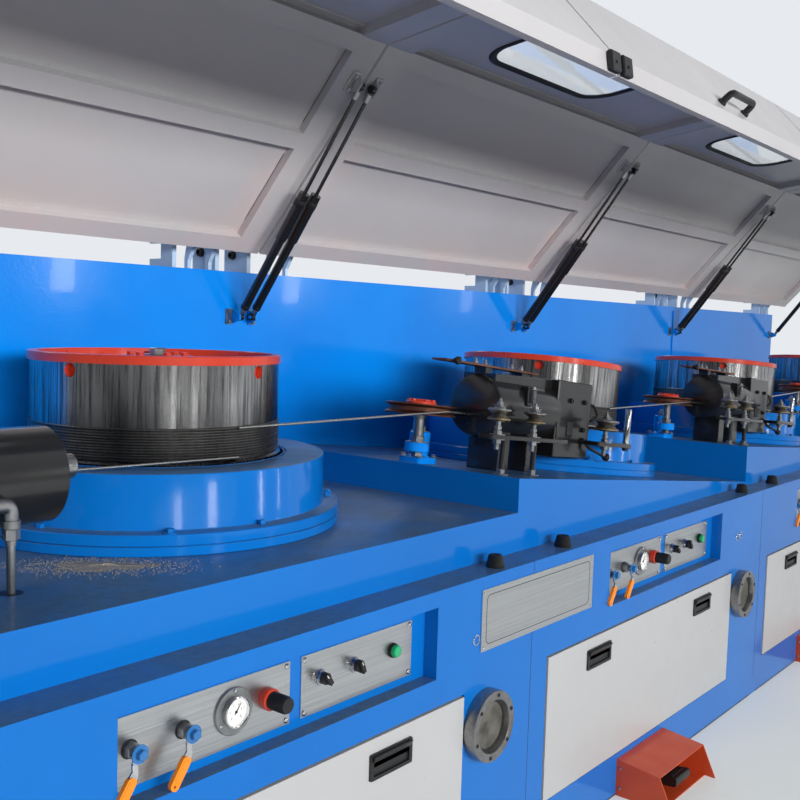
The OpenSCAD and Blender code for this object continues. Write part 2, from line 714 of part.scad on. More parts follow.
// Glass and black fittings of a hood
module window_glass(i) {
  color("lightblue") at_block(i) window_hole(-10 - fit, 5, -4.5);
}
module hood_fittings(i) {
  color("black") at_block(i) {
    difference() {
      union() {
        window_hole(-fit, hood_t + 2 * (fit + eps), -hood_t - fit - eps);
        window_hole(12, 5, fit);
        window_hole(12, 5, -hood_t - 5 - fit);
      }
      window_hole(-10, 40, -20);
    }
    pull_handle();
    for (s = [-1, 1]) corner_stop(s);
  }
}

// Stands a thing on the outer face of the hood between two corners of its outline
module on_face(a, b, u, s) {
  d = unit(b - a);
  p = a + d * s;
  translate([u, p[0], p[1]]) rotate([atan2(d[1], d[0]) - 180, 0, 0]) children();
}
handle_u = 722;
module pull_handle() {
  on_face(fold, crease, handle_u, 245) {
    for (x = [-81, 81]) translate([x - 10, -10, fit]) cube([20, 20, 44]);
    translate([-91, -10, 28]) cube([182, 20, 18]);
  }
}
module corner_stop(s) {
  on_face(crease, lip, pitch / 2 + s * (hood_w / 2 - 22), 20) translate([-21, -20, fit]) cube([42, 44, 14]);
}

block_frame(0);  // block_frame_1
block_frame(1);  // block_frame_2
block_frame(2);  // block_frame_3
block_frame(3);  // block_frame_4
back_wall();
hinge_brackets();
strut_brackets();
capstan_bases();
access_doors();
door_handles();
sight_ports();
rubber_bumpers();
face_plates();
pressure_gauges();
ball_valves();
valve_levers();
selector_switches();
signal_lamps();
air_regulators();
pedal_guards();
arm_brackets();
die_boxes();
line_rollers();
roller_stands();
drawn_wire();
hood(0);  // hood_1
hood(1);  // hood_2
hood(2);  // hood_3
hood(3);  // hood_4
window_glass(0);  // window_glass_1
window_glass(1);  // window_glass_2
window_glass(2);  // window_glass_3
window_glass(3);  // window_glass_4
hood_fittings(0);  // hood_fittings_1
hood_fittings(1);  // hood_fittings_2
hood_fittings(2);  // hood_fittings_3
hood_fittings(3);  // hood_fittings_4
strut_cylinders(0);  // strut_cylinders_1
strut_cylinders(1);  // strut_cylinders_2
strut_cylinders(2);  // strut_cylinders_3
strut_cylinders(3);  // strut_cylinders_4
strut_rods(0);  // strut_rods_1
strut_rods(1);  // strut_rods_2
strut_rods(2);  // strut_rods_3
strut_rods(3);  // strut_rods_4
capstan(0);  // capstan_1
capstan(1);  // capstan_2
capstan(2);  // capstan_3
capstan(3);  // capstan_4
swing_arm(1);  // swing_arm_2
swing_arm(2);  // swing_arm_3
swing_arm(3);  // swing_arm_4
guide_wheel(1);  // guide_wheel_2
guide_wheel(2);  // guide_wheel_3
guide_wheel(3);  // guide_wheel_4
pedal(0);  // pedal_1
pedal(1);  // pedal_2
pedal(2);  // pedal_3
pedal(3);  // pedal_4
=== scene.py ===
"""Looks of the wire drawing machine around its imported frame.

Row frame: +X along the row, front at -Y, Z up. Sizes and frames here are in millimetres, and Piece
scales them to metres. Camera, lamps and shader coordinates are in metres.
"""
import json
import math

import bmesh
import bpy
from mathutils import Matrix, Vector

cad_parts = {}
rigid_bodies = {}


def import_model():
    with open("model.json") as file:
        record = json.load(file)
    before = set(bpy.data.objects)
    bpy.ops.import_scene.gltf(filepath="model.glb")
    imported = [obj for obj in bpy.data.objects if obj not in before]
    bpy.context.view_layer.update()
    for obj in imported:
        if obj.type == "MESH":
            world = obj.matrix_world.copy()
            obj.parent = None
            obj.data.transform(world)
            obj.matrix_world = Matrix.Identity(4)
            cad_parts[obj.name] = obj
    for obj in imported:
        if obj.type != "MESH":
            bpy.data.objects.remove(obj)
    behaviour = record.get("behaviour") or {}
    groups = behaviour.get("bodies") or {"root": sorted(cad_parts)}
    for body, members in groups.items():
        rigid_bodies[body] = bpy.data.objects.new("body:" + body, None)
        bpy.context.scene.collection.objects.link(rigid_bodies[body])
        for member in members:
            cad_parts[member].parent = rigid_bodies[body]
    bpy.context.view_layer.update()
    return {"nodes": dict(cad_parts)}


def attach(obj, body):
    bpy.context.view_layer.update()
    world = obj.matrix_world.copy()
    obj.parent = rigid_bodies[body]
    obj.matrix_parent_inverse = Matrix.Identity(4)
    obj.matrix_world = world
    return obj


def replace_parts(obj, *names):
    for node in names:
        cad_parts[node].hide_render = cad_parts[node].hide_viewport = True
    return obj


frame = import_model()
NODES = frame["nodes"]

MM = 0.001

# Sizes shared with the construction
PITCH = 1500
BLOCKS = range(4)
LATER = (1, 2, 3)
BASE_D, WALL_T, WALL_Z = 1030, 100, 1397
LEDGE_Z, FIRST_DECK_Z, LOW_DECK_Z, STEP_U = 724, 819, 738, 50
FRONT_Y = -(BASE_D + WALL_T) / 2
SLOPES = [0.0, 6.2, 4.8, 4.8]
DRUM_R = [265, 257, 257, 257]
AXIS_U, AXIS_V = [905, 890, 890, 890], [622, 563, 563, 563]
TOP_H = [364, 348, 348, 348]


def block_x(i):
    return (i - 2) * PITCH


def deck_z(i, u):
    if i == 0:
        return FIRST_DECK_Z
    return LOW_DECK_Z + (PITCH + STEP_U - u) * math.tan(math.radians(SLOPES[i]))


def deck_frame(i, a=0.0, v=0.0, h=0.0):
    """Frame on a deck: x along its slope from the drum axis, y from the front face, z square to it."""
    at = Matrix.Translation((block_x(i) + AXIS_U[i], FRONT_Y, deck_z(i, AXIS_U[i])))
    return at @ Matrix.Rotation(math.radians(SLOPES[i]), 4, "Y") @ Matrix.Translation((a, v, h))


# ---- Mesh building ----
class Piece:
    """Faces gathered in the row frame and made into one object that rides on a body."""

    def __init__(self, name, body, slot, mats):
        self.name, self.body, self.slot, self.mats = name, body, slot, mats
        self.verts, self.faces, self.which = [], [], []

    def add(self, shape, at=None, mat=0):
        verts, faces = shape
        start = len(self.verts)
        place = at if at is not None else Matrix.Identity(4)
        self.verts += [(place @ Vector(p)) * MM for p in verts]
        self.faces += [[start + j for j in face] for face in faces]
        self.which += [mat] * len(faces)

    def around(self, shape, at, r, h, angles, mat=0, tip=None):
        """Adds a copy of the shape at each angle in degrees, r out from the axis and h up it."""
        for a in angles:
            place = at @ turn(a, "Z") @ shift(r, 0, h)
            self.add(shape, place @ tip if tip else place, mat)

    def done(self, sharp=32):
        me = bpy.data.meshes.new(self.name)
        me.from_pydata([tuple(v) for v in self.verts], [], self.faces)
        for m in self.mats:
            me.materials.append(MATS[m])
        me.polygons.foreach_set("material_index", self.which)
        me.polygons.foreach_set("use_smooth", [True] * len(self.faces))
        me.update()
        bm = bmesh.new()
        bm.from_mesh(me)
        bmesh.ops.recalc_face_normals(bm, faces=bm.faces)
        bm.to_mesh(me)
        bm.free()
        me.set_sharp_from_angle(angle=math.radians(sharp))
        o = bpy.data.objects.new(self.name, me)
        bpy.context.scene.collection.objects.link(o)
        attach(o, self.body)
        return o


def bands(rows, n, closed=False):
    """Quads between rows of n points, each row closed on itself; closed joins the last row to the first."""
    return [[a * n + j, a * n + (j + 1) % n, (a + 1) % rows * n + (j + 1) % n, (a + 1) % rows * n + j]
        for a in range(rows if closed else rows - 1) for j in range(n)]


def corners(x, y):
    return [(sx * x, sy * y) for sx in (-1, 1) for sy in (-1, 1)]


def joined(*shapes):
    verts, faces = [], []
    for v, f in shapes:
        start = len(verts)
        verts += list(v)
        faces += [[start + j for j in face] for face in f]
    return verts, faces


def moved(shape, at):
    return [tuple(at @ Vector(p)) for p in shape[0]], shape[1]


def shift(x=0.0, y=0.0, z=0.0):
    return Matrix.Translation((x, y, z))


def turn(deg, axis):
    return Matrix.Rotation(math.radians(deg), 4, axis)


def lathe(profile, n=48, closed=False):
    """Turns (radius, height) points about Z. A closed profile joins its last point to its first."""
    verts, rows = [], []
    for r, z in profile:
        if r < 1e-9:
            rows.append([len(verts)] * n)
            verts.append((0, 0, z))
            continue
        rows.append(range(len(verts), len(verts) + n))
        verts += [(r * math.cos(2 * math.pi * k / n), r * math.sin(2 * math.pi * k / n), z)
            for k in range(n)]
    faces = []
    for lower, upper in list(zip(rows, rows[1:])) + ([(rows[-1], rows[0])] if closed else []):
        for k in range(n):
            face = []
            for v in (lower[k], lower[(k + 1) % n], upper[(k + 1) % n], upper[k]):
                if v not in face:
                    face.append(v)
            if len(face) > 2:
                faces.append(face)
    return verts, faces


def disc(r, z0, z1, n):
    return lathe([(0, z0), (r, z0), (r, z1), (0, z1)], n)


def box(lo, hi, c=0.0):
    """Box from corner to corner, with chamfered edges."""
    if c <= 0:
        verts = [(x, y, z) for x in (lo[0], hi[0]) for y in (lo[1], hi[1]) for z in (lo[2], hi[2])]
        return verts, [[0, 1, 3, 2], [4, 6, 7, 5], [0, 4, 5, 1], [2, 3, 7, 6], [0, 2, 6, 4], [1, 5, 7, 3]]
    signs = [(sx, sy, sz) for sx in (0, 1) for sy in (0, 1) for sz in (0, 1)]
    verts, index = [], {}
    for s in signs:
        for k in range(3):
            index[s, k] = len(verts)
            verts.append(tuple((hi[m] - (m != k) * c) if s[m] else (lo[m] + (m != k) * c)
                for m in range(3)))
    faces = [[index[s, k] for k in range(3)] for s in signs]
    for k in range(3):
        a, b = [m for m in range(3) if m != k]

        def corner(side, sa, sb):
            key = [side] * 3
            key[a], key[b] = sa, sb
            return tuple(key)

        for side in (0, 1):
            faces.append([index[corner(side, sa, sb), k] for sa, sb in ((0, 0), (1, 0), (1, 1), (0, 1))])
        for sa, sb in ((0, 0), (0, 1), (1, 0), (1, 1)):
            low, high = corner(0, sa, sb), corner(1, sa, sb)
            faces.append([index[low, a], index[high, a], index[high, b], index[low, b]])
    return verts, faces


def prism(outline, z0, z1, c=0.0):
    """Extrudes an outline in XY from z0 to z1, with its top edge chamfered by c."""
    n = len(outline)
    rings = [[(x, y, z0) for x, y in outline], [(x, y, z1 - c) for x, y in outline]]
    if c > 0:
        rings.append([(x, y, z1) for x, y in inset(outline, c)])
    verts = [p for ring in rings for p in ring]
    ends = [list(range(n))[::-1], list(range(len(verts) - n, len(verts)))]
    return verts, ends + bands(len(rings), n)


def inset(outline, c):
    area = sum(a[0] * b[1] - b[0] * a[1] for a, b in zip(outline, outline[1:] + outline[:1]))
    side = 1 if area > 0 else -1
    out = []
    for k, p in enumerate(outline):
        a, b = Vector(outline[k - 1]), Vector(outline[(k + 1) % len(outline)])
        d1, d2 = (Vector(p) - a).normalized(), (b - Vector(p)).normalized()
        n1, n2 = Vector((-d1.y, d1.x)) * side, Vector((-d2.y, d2.x)) * side
        m = n1 + n2
        m = m / max(m.dot(n1), 0.3) if m.length > 1e-6 else n1
        out.append((p[0] + m.x * c, p[1] + m.y * c))
    return out


def rounded(w, h, r, n=6, at=(0, 0)):
    """Outline of a rectangle with round corners."""
    pts = []
    for sx, sy, a0 in ((1, 1, 0), (-1, 1, 90), (-1, -1, 180), (1, -1, 270)):
        for k in range(n + 1):
            a = math.radians(a0 + 90 * k / n)
            pts.append((at[0] + sx * (w / 2 - r) + r * math.cos(a),
                at[1] + sy * (h / 2 - r) + r * math.sin(a)))
    return pts


def circle(r, n=32, at=(0, 0)):
    return [(at[0] + r * math.cos(2 * math.pi * k / n), at[1] + r * math.sin(2 * math.pi * k / n))
        for k in range(n)]


def plate_with_holes(outline, holes, z0, z1):
    """Flat plate between two heights with holes through it, filled by a triangulation."""
    bm = bmesh.new()
    loops = []
    for pts in [outline] + holes:
        vs = [bm.verts.new((x, y, z0)) for x, y in pts]
        loops.append([bm.edges.new((vs[k], vs[(k + 1) % len(vs)])) for k in range(len(vs))])
    bmesh.ops.triangle_fill(bm, edges=[e for loop in loops for e in loop], use_beauty=True)
    bm.verts.index_update()
    low = [tuple(v.co) for v in bm.verts]
    tris = [[v.index for v in f.verts] for f in bm.faces]
    bm.free()
    n = len(low)
    verts = low + [(x, y, z1) for x, y, _ in low]
    faces = [t[::-1] for t in tris] + [[n + k for k in t] for t in tris]
    start = 0
    for pts in [outline] + holes:
        m = len(pts)
        faces += [[start + k, start + (k + 1) % m, n + start + (k + 1) % m, n + start + k]
            for k in range(m)]
        start += m
    return verts, faces


def tube(points, r, n=12):
    """Round bar along a line of points, without twist."""
    pts = [Vector(p) for p in points]
    verts, up = [], None
    for k, p in enumerate(pts):
        d = (pts[min(k + 1, len(pts) - 1)] - pts[max(k - 1, 0)]).normalized()
        if up is None:
            up = d.orthogonal().normalized()
        up = (up - d * up.dot(d)).normalized()
        side = d.cross(up)
        for j in range(n):
            a = 2 * math.pi * j / n
            verts.append(tuple(p + (up * math.cos(a) + side * math.sin(a)) * r))
    ends = [list(range(n))[::-1], list(range(len(verts) - n, len(verts)))]
    return verts, ends + bands(len(pts), n)


def bend(points, r, n=6):
    """Rounds the corners of a line of points."""
    pts = [Vector(p) for p in points]
    out = [pts[0]]
    for k in range(1, len(pts) - 1):
        a, p, b = pts[k - 1], pts[k], pts[k + 1]
        d1, d2 = (a - p).normalized(), (b - p).normalized()
        t = min(r, (a - p).length * 0.45, (b - p).length * 0.45)
        for j in range(n + 1):
            s = j / n
            out.append((p + d1 * t) * (1 - s) ** 2 + p * 2 * s * (1 - s) + (p + d2 * t) * s ** 2)
    out.append(pts[-1])
    return out


def hexagon(across):
    r = across / math.sqrt(3)
    return [(r * math.cos(math.radians(a)), r * math.sin(math.radians(a))) for a in range(30, 360, 60)]


def hex_bolt(across, h, washer=0.0):
    """Hex head or nut standing on Z, on a washer."""
    parts = [prism(hexagon(across), washer, washer + h, across * 0.06)]
    if washer > 0:
        parts.append(disc(across * 0.98, 0, washer, 24))
    return joined(*parts)


def stud(across, h, d, out, washer=0.0):
    """Nut on a threaded end that stands out of it."""
    return joined(hex_bolt(across, h, washer), lathe([(d / 2, washer), (d / 2, washer + h + out - d * 0.12),
        (d * 0.38, washer + h + out), (0, washer + h + out)], 16))


def cap_screw(d, h, key):
    """Round head with a hexagon recess."""
    n = 24
    hexa = []
    for k in range(n):
        a = 2 * math.pi * k / n
        m = (a % (math.pi / 3)) - math.pi / 6
        r = key / 2 / math.cos(m)
        hexa.append((r * math.cos(a), r * math.sin(a)))
    rings = [[(x, y, 0) for x, y in circle(d / 2, n)], [(x, y, h - d * 0.06) for x, y in circle(d / 2, n)],
        [(x, y, h) for x, y in circle(d * 0.44, n)], [(x, y, h) for x, y in hexa],
        [(x, y, h * 0.45) for x, y in hexa]]
    verts = [p for ring in rings for p in ring]
    return verts, bands(len(rings), n) + [list(range(len(verts) - n, len(verts)))]


# ---- Materials ----
MATS = {}


class Nodes:
    """Short names for the usual nodes of one node tree."""

    def __init__(self, tree):
        self.nt = tree

    def put(self, socket, value):
        if isinstance(value, bpy.types.NodeSocket):
            self.nt.links.new(value, socket)
        else:
            socket.default_value = value

    def node(self, kind, inputs=(), **props):
        n = self.nt.nodes.new(kind)
        for k, v in props.items():
            setattr(n, k, v)
        for k, v in dict(inputs).items():
            self.put(n.inputs[k], v)
        return n

    def ramp(self, fac, lo, hi, a=0.0, b=1.0):
        return self.node("ShaderNodeMapRange", {"Value": fac, "From Min": lo, "From Max": hi, "To Min": a,
            "To Max": b}).outputs["Result"]

    def calc(self, op, a, b=0.0):
        return self.node("ShaderNodeMath", {0: a, 1: b}, operation=op).outputs[0]


class Shader(Nodes):
    """One material on the Principled shader. Its object coordinates are row-frame metres."""

    def __init__(self, name, color=(0.5, 0.5, 0.5), rough=0.5, metal=0.0, coat=0.0, coat_rough=0.08,
            spec=0.5):
        self.mat = MATS[name] = bpy.data.materials.new(name)
        self.mat.use_nodes = True
        super().__init__(self.mat.node_tree)
        self.b = self.nt.nodes["Principled BSDF"]
        self.pos = self.node("ShaderNodeTexCoord").outputs["Object"]
        for socket, value in (("Base Color", (*color, 1)), ("Roughness", rough), ("Metallic", metal),
                ("Coat Weight", coat), ("Coat Roughness", coat_rough), ("Specular IOR Level", spec)):
            self.set(socket, value)

    def set(self, socket, value):
        self.put(self.b.inputs[socket], value)

    def noise(self, scale, detail=3.0, rough=0.55, vec=None):
        return self.node("ShaderNodeTexNoise", {"Vector": vec or self.pos, "Scale": scale, "Detail": detail,
            "Roughness": rough}).outputs["Fac"]

    def mapped(self, at=(0, 0, 0), rot=(0, 0, 0), scale=(1, 1, 1), kind="POINT"):
        return self.node("ShaderNodeMapping", {"Vector": self.pos, "Location": at, "Rotation": rot,
            "Scale": scale}, vector_type=kind).outputs["Vector"]

    def mix(self, fac, a, b):
        a, b = [(*c, 1) if isinstance(c, tuple) else c for c in (a, b)]
        return self.node("ShaderNodeMix", {0: fac, 6: a, 7: b}, data_type="RGBA").outputs[2]

    def split(self, vec=None):
        return self.node("ShaderNodeSeparateXYZ", {0: vec or self.pos}).outputs

    def facing_up(self):
        return self.ramp(self.split(self.node("ShaderNodeNewGeometry").outputs["True Normal"])[2], 0.7,
            0.95)

    def bump(self, height, strength, distance):
        n = self.node("ShaderNodeBump", {"Height": height, "Strength": strength, "Distance": distance})
        self.set("Normal", n.outputs["Normal"])


def blue_paint(name, base, deep, dusty):
    """Gloss enamel on welded plate: slight orange peel, patchy tone, dust on what faces up."""
    s = Shader(name, rough=0.16, coat=0.15, coat_rough=0.03, spec=0.26)
    tone = s.mix(s.ramp(s.noise(1.7, 4), 0.35, 0.7), base, deep)
    dust = s.calc("MULTIPLY", s.facing_up(), s.ramp(s.noise(5.0, 6, 0.65), 0.3, 0.62, 0.55, 1.0))
    fine = s.ramp(s.noise(60, 4, 0.7), 0.35, 0.75)
    grime = s.mix(fine, dusty, tuple(c * 0.62 for c in dusty))
    s.set("Base Color", s.mix(dust, tone, grime))
    s.set("Roughness", s.calc("ADD", s.ramp(s.noise(9, 3), 0.3, 0.7, 0.10, 0.17),
        s.calc("MULTIPLY", dust, 0.34)))
    s.bump(s.calc("ADD", s.noise(110, 2), s.calc("MULTIPLY", s.noise(9, 2), 3.0)), 0.07, 0.002)


def plain_paint(name, color, rough=0.35, coat=0.2, vary=0.12, bump=0.04):
    s = Shader(name, rough=rough, coat=coat, coat_rough=0.12)
    dark = tuple(c * (1 - vary) for c in color)
    s.set("Base Color", s.mix(s.ramp(s.noise(6, 5), 0.3, 0.7), color, dark))
    s.set("Roughness", s.ramp(s.noise(14, 4), 0.3, 0.7, rough * 0.8, rough * 1.25))
    s.bump(s.noise(220, 2), bump, 0.001)


def metal(name, color, rough=0.3, grain=(60, 60, 60), dirt=0.25, bump=0.08):
    """Bare metal with a grain along the axis that has the smallest scale."""
    s = Shader(name, metal=1.0, rough=rough)
    vec = s.mapped(scale=grain)
    line = s.noise(1.0, 5, 0.6, vec)
    spots = s.ramp(s.noise(35, 5, 0.7), 0.5, 0.75)
    s.set("Base Color", s.mix(s.calc("MULTIPLY", spots, dirt),
        s.mix(s.ramp(line, 0.3, 0.7), color, tuple(c * 0.8 for c in color)),
        tuple(c * 0.35 for c in color)))
    s.set("Roughness", s.ramp(line, 0.25, 0.75, rough * 0.7, rough * 1.4))
    s.bump(line, bump, 0.0004)


def drum_steel(i):
    """Polished drum face: fine marks up and down, and strong light and dark streaks in the base colour,
    partly brush marks and partly painted reflection of a row of windows, drawn from the angle round the
    drum's own axis.
    """
    s = Shader(f"drum_steel_{i + 1}", metal=1.0, rough=0.2)
    at = deck_frame(i, 0, AXIS_V[i], 0).to_translation() * MM
    local = s.mapped(tuple(at), (0, math.radians(SLOPES[i]), 0), (1, 1, 1), "TEXTURE")
    x, y, z = s.split(local)
    angle = s.calc("ARCTAN2", y, x)
    strip = s.node("ShaderNodeCombineXYZ", {0: s.calc("MULTIPLY", angle, 26.0),
        1: s.calc("MULTIPLY", z, 3.0), 2: 0.0}).outputs[0]
    streak = s.noise(1.0, 6, 0.72, strip)
    fine = s.noise(6.0, 3, 0.6, strip)
    height = s.calc("SUBTRACT", z, (TOP_H[i] - 120) * MM)
    worn = s.ramp(height, -0.07, 0.03, 0.0, 1.0)
    # Streaked tone between bright and dark steel: partly brush marks, partly painted reflection of windows.
    tone = s.mix(s.ramp(streak, 0.40, 0.60), (0.56, 0.56, 0.56), (0.11, 0.11, 0.12))
    dull = s.mix(s.ramp(fine, 0.3, 0.7), (0.13, 0.13, 0.135), (0.06, 0.06, 0.065))
    s.set("Base Color", s.mix(worn, dull, tone))
    s.set("Roughness", s.ramp(streak, 0.3, 0.7, 0.16, 0.36))
    s.bump(s.calc("ADD", streak, s.calc("MULTIPLY", fine, 0.3)), 0.12, 0.0008)


def hood_paint():
    """Pale enamel, with thin pinkish overspray along the hinge edge and beside the end members."""
    s = Shader("hood_white", rough=0.36, coat=0.15, coat_rough=0.2)
    base = s.mix(s.ramp(s.noise(1.3, 4), 0.3, 0.7), (0.50, 0.49, 0.505), (0.44, 0.43, 0.445))
    x, _, z = s.split()
    pitch = PITCH * MM
    low = s.ramp(z, 1.47, 1.62, 1.0, 0.0)
    side = s.calc("ABSOLUTE", s.calc("SUBTRACT", s.calc("FRACT",
        s.calc("DIVIDE", s.calc("ADD", x, 6 * pitch), pitch)), 0.5))
    beside = s.calc("MULTIPLY", s.ramp(side, 0.36, 0.435), s.calc("MULTIPLY",
        s.ramp(side, 0.439, 0.441, 1.0, 0.25), s.ramp(z, 1.62, 1.78, 1.0, 0.15)))
    rust = s.calc("MULTIPLY", s.calc("MAXIMUM", s.calc("MULTIPLY", low, 0.4),
        s.calc("MULTIPLY", beside, 0.6)), s.ramp(s.noise(3.5, 6, 0.7), 0.38, 0.62))
    s.set("Base Color", s.mix(rust, base, (0.60, 0.44, 0.43)))
    s.set("Roughness", s.ramp(s.noise(3, 4), 0.3, 0.7, 0.3, 0.46))
    s.bump(s.calc("ADD", s.noise(140, 2), s.calc("MULTIPLY", s.noise(2.5, 2), 5.0)), 0.05, 0.002)


def make_materials():
    # The first two are one enamel: the cabinets' copy has a darker base, painted shade for fronts that take
    # less light, and grey dust on what faces up; the second is the lit copy, for the wall, its brackets and
    # the arms, with a deeper blue instead of grey dust on what faces up.
    blue_paint("blue", (0.002, 0.140, 0.500), (0.002, 0.118, 0.440), (0.085, 0.150, 0.240))
    blue_paint("blue_lit_clean", (0.002, 0.225, 0.780), (0.002, 0.190, 0.700), (0.010, 0.190, 0.640))
    # Pale blue for the hinge brackets: partly their own light blue, partly painted reflection of a bright
    # window lifted into the base colour.
    plain_paint("light_blue_sheen", (0.40, 0.55, 0.76), 0.2, 0.3)
    hood_paint()
    plain_paint("door_white", (0.43, 0.435, 0.445), 0.34, 0.12, 0.03, 0.008)
    plain_paint("black_paint", (0.012, 0.012, 0.013), 0.22, 0.4, 0.3, 0.08)
    plain_paint("black_plastic", (0.012, 0.012, 0.013), 0.42, 0.0, 0.3, 0.15)
    plain_paint("rubber", (0.010, 0.010, 0.010), 0.6, 0.0, 0.3, 0.2)
    plain_paint("red_paint", (0.56, 0.042, 0.018), 0.3, 0.3, 0.2)
    plain_paint("guard_orange", (0.62, 0.075, 0.022), 0.42, 0.15, 0.25)
    plain_paint("lever_orange", (0.85, 0.25, 0.012), 0.35, 0.2, 0.12)
    plain_paint("valve_blue", (0.03, 0.16, 0.42), 0.3, 0.2, 0.2)
    plain_paint("dial_white", (0.78, 0.78, 0.76), 0.3, 0.1, 0.02)
    plain_paint("mark_black", (0.015, 0.015, 0.015), 0.4, 0.0, 0.1)
    plain_paint("lamp_green", (0.01, 0.36, 0.14), 0.15, 0.5, 0.1)
    metal("steel", (0.50, 0.50, 0.51), 0.30, (90, 90, 90), 0.35)
    metal("port_steel", (0.36, 0.355, 0.35), 0.34, (120, 120, 120), 0.5, 0.12)
    metal("chrome", (0.80, 0.80, 0.81), 0.1, (40, 40, 40), 0.1, 0.03)
    metal("galvanised", (0.50, 0.51, 0.52), 0.42, (25, 25, 25), 0.35)
    metal("plate_steel", (0.70, 0.71, 0.73), 0.34, (3, 3, 420), 0.05, 0.05)
    metal("dark_steel", (0.12, 0.12, 0.125), 0.45, (50, 50, 50), 0.3)
    metal("wire_steel", (0.16, 0.155, 0.15), 0.38, (120, 120, 30), 0.3)
    metal("bright_wire", (0.60, 0.58, 0.55), 0.3, (120, 120, 30), 0.2)
    metal("copper", (0.34, 0.15, 0.10), 0.44, (18, 18, 60), 0.5)
    metal("brassy", (0.50, 0.40, 0.25), 0.38, (40, 40, 90), 0.4)
    for i in BLOCKS:
        drum_steel(i)
    glass = Shader("window_glass", (0.86, 0.90, 0.92), rough=0.03)
    glass.set("Transmission Weight", 1.0)
    glass.set("IOR", 1.45)
    # The sight glass is an opaque dark disc: painted shade for the unlit inside of the cabinet behind it,
    # with patchy dust.
    sight = Shader("sight_glass", (0.12, 0.12, 0.10), rough=0.3, coat=0.04, spec=0.25)
    sight.set("Base Color", sight.mix(sight.ramp(sight.noise(30, 5), 0.35, 0.65), (0.045, 0.042, 0.036),
        (0.12, 0.115, 0.10)))
    powder = Shader("powder", rough=0.9)
    powder.set("Base Color", powder.mix(powder.ramp(powder.noise(300, 3), 0.3, 0.7), (0.34, 0.32, 0.28),
        (0.20, 0.19, 0.18)))
    powder.bump(powder.noise(500, 3), 0.6, 0.001)


def dress(nodes, mat):
    for n in nodes:
        me = NODES[n].data
        me.materials.clear()
        me.materials.append(MATS[mat])


# ---- Camera, light and floor ----
# Camera, solved from the photograph
CAM_AT = (-3.439, -1.737, 1.255)
CAM_YAW, CAM_PITCH, CAM_ROLL = 50.69, -4.28, 1.69
CAM_PIXELS = 988


def make_camera():
    data = bpy.data.cameras.new("view")
    data.sensor_width = 36
    data.lens = 36 * CAM_PIXELS / 800
    data.clip_start = 0.02
    cam = bpy.data.objects.new("view", data)
    bpy.context.scene.collection.objects.link(cam)
    turn = (Matrix.Rotation(-math.radians(CAM_YAW), 4, "Z") @ Matrix.Rotation(math.radians(90 + CAM_PITCH),
        4, "X") @ Matrix.Rotation(math.radians(CAM_ROLL), 4, "Z"))
    cam.matrix_world = Matrix.Translation(CAM_AT) @ turn
    bpy.context.scene.camera = cam


# Studio, in metres and watts
SOFT_WHITE, COOL_WHITE = (1.0, 0.99, 0.97), (0.95, 0.97, 1.0)
BACKDROP = 0.86
FLOOR_HALF, FLOOR_DROP, FLOOR_GLOW = 14.0, 0.0005, 0.28


def area_light(name, at, to, size, power, color=SOFT_WHITE, spread=110, mirrored=True):
    data = bpy.data.lights.new(name, "AREA")
    data.spread = math.radians(spread)
    data.shape = "RECTANGLE"
    data.size, data.size_y = size
    data.energy = power
    data.color = color
    lamp = bpy.data.objects.new(name, data)
    bpy.context.scene.collection.objects.link(lamp)
    lamp.visible_glossy = mirrored
    lamp.location = at
    lamp.rotation_euler = (Vector(to) - Vector(at)).to_track_quat("-Z", "Y").to_euler()


def make_light():
    """Soft light from the front; a camera, a mirror or a glass sees a pale backdrop for the room."""
    world = bpy.data.worlds.new("room")
    bpy.context.scene.world = world
    world.use_nodes = True
    room = Nodes(world.node_tree)
    back = room.nt.nodes["Background"]
    back.inputs["Color"].default_value = (0.93, 0.96, 1.0, 1)
    way = room.node("ShaderNodeTexCoord").outputs["Generated"]

    def level(side, near, far, lo, hi):
        """Strength that goes from lo to hi across the room, towards one side."""
        along = room.node("ShaderNodeVectorMath", {0: way, 1: side}, operation="DOT_PRODUCT")
        return room.ramp(along.outputs["Value"], near, far, lo, hi)

    path = room.node("ShaderNodeLightPath").outputs
    mirror = room.calc("MAXIMUM", path["Is Glossy Ray"], path["Is Transmission Ray"])
    strength = level((0.35, -0.90, 0.25), -0.9, 0.9, 0.32, 0.20)
    for ray, seen in ((mirror, level((0.85, 0.45, 0.27), -0.3, 0.9, 0.12, BACKDROP)),
            (path["Is Camera Ray"], BACKDROP)):
        strength = room.node("ShaderNodeMix", {0: ray, 2: strength, 3: seen}).outputs[0]
    room.put(back.inputs["Strength"], strength)
    # A row of soft boxes, two weak lamps that streak the drums, and narrow strips for the far end
    for k in range(5):
        x = -7.6 + 1.75 * k
        area_light(f"softbox_{k}", (x, -8.5, 2.35), (x + 1.2, 0.5, 1.4), (1.6, 1.5), 76, mirrored=False)
    for k, x in enumerate((-5.85, -2.35)):
        area_light(f"streak_{k}", (x, -8.6, 2.35), (x + 1.2, 0.5, 1.4), (0.8, 1.5), 15)
    for k, x in enumerate((3.2, 7.0, 11.5)):
        area_light(f"strip_{k}", (x, -8.0, 2.3), (x - 1.0, 0.5, 1.4), (0.30, 1.5), 14)
    area_light("roof_back", (1.0, 4.2, 5.2), (0.5, 0.0, 0.9), (9.0, 2.0), 260, COOL_WHITE, 180)
    bpy.context.scene.view_settings.view_transform = "Standard"


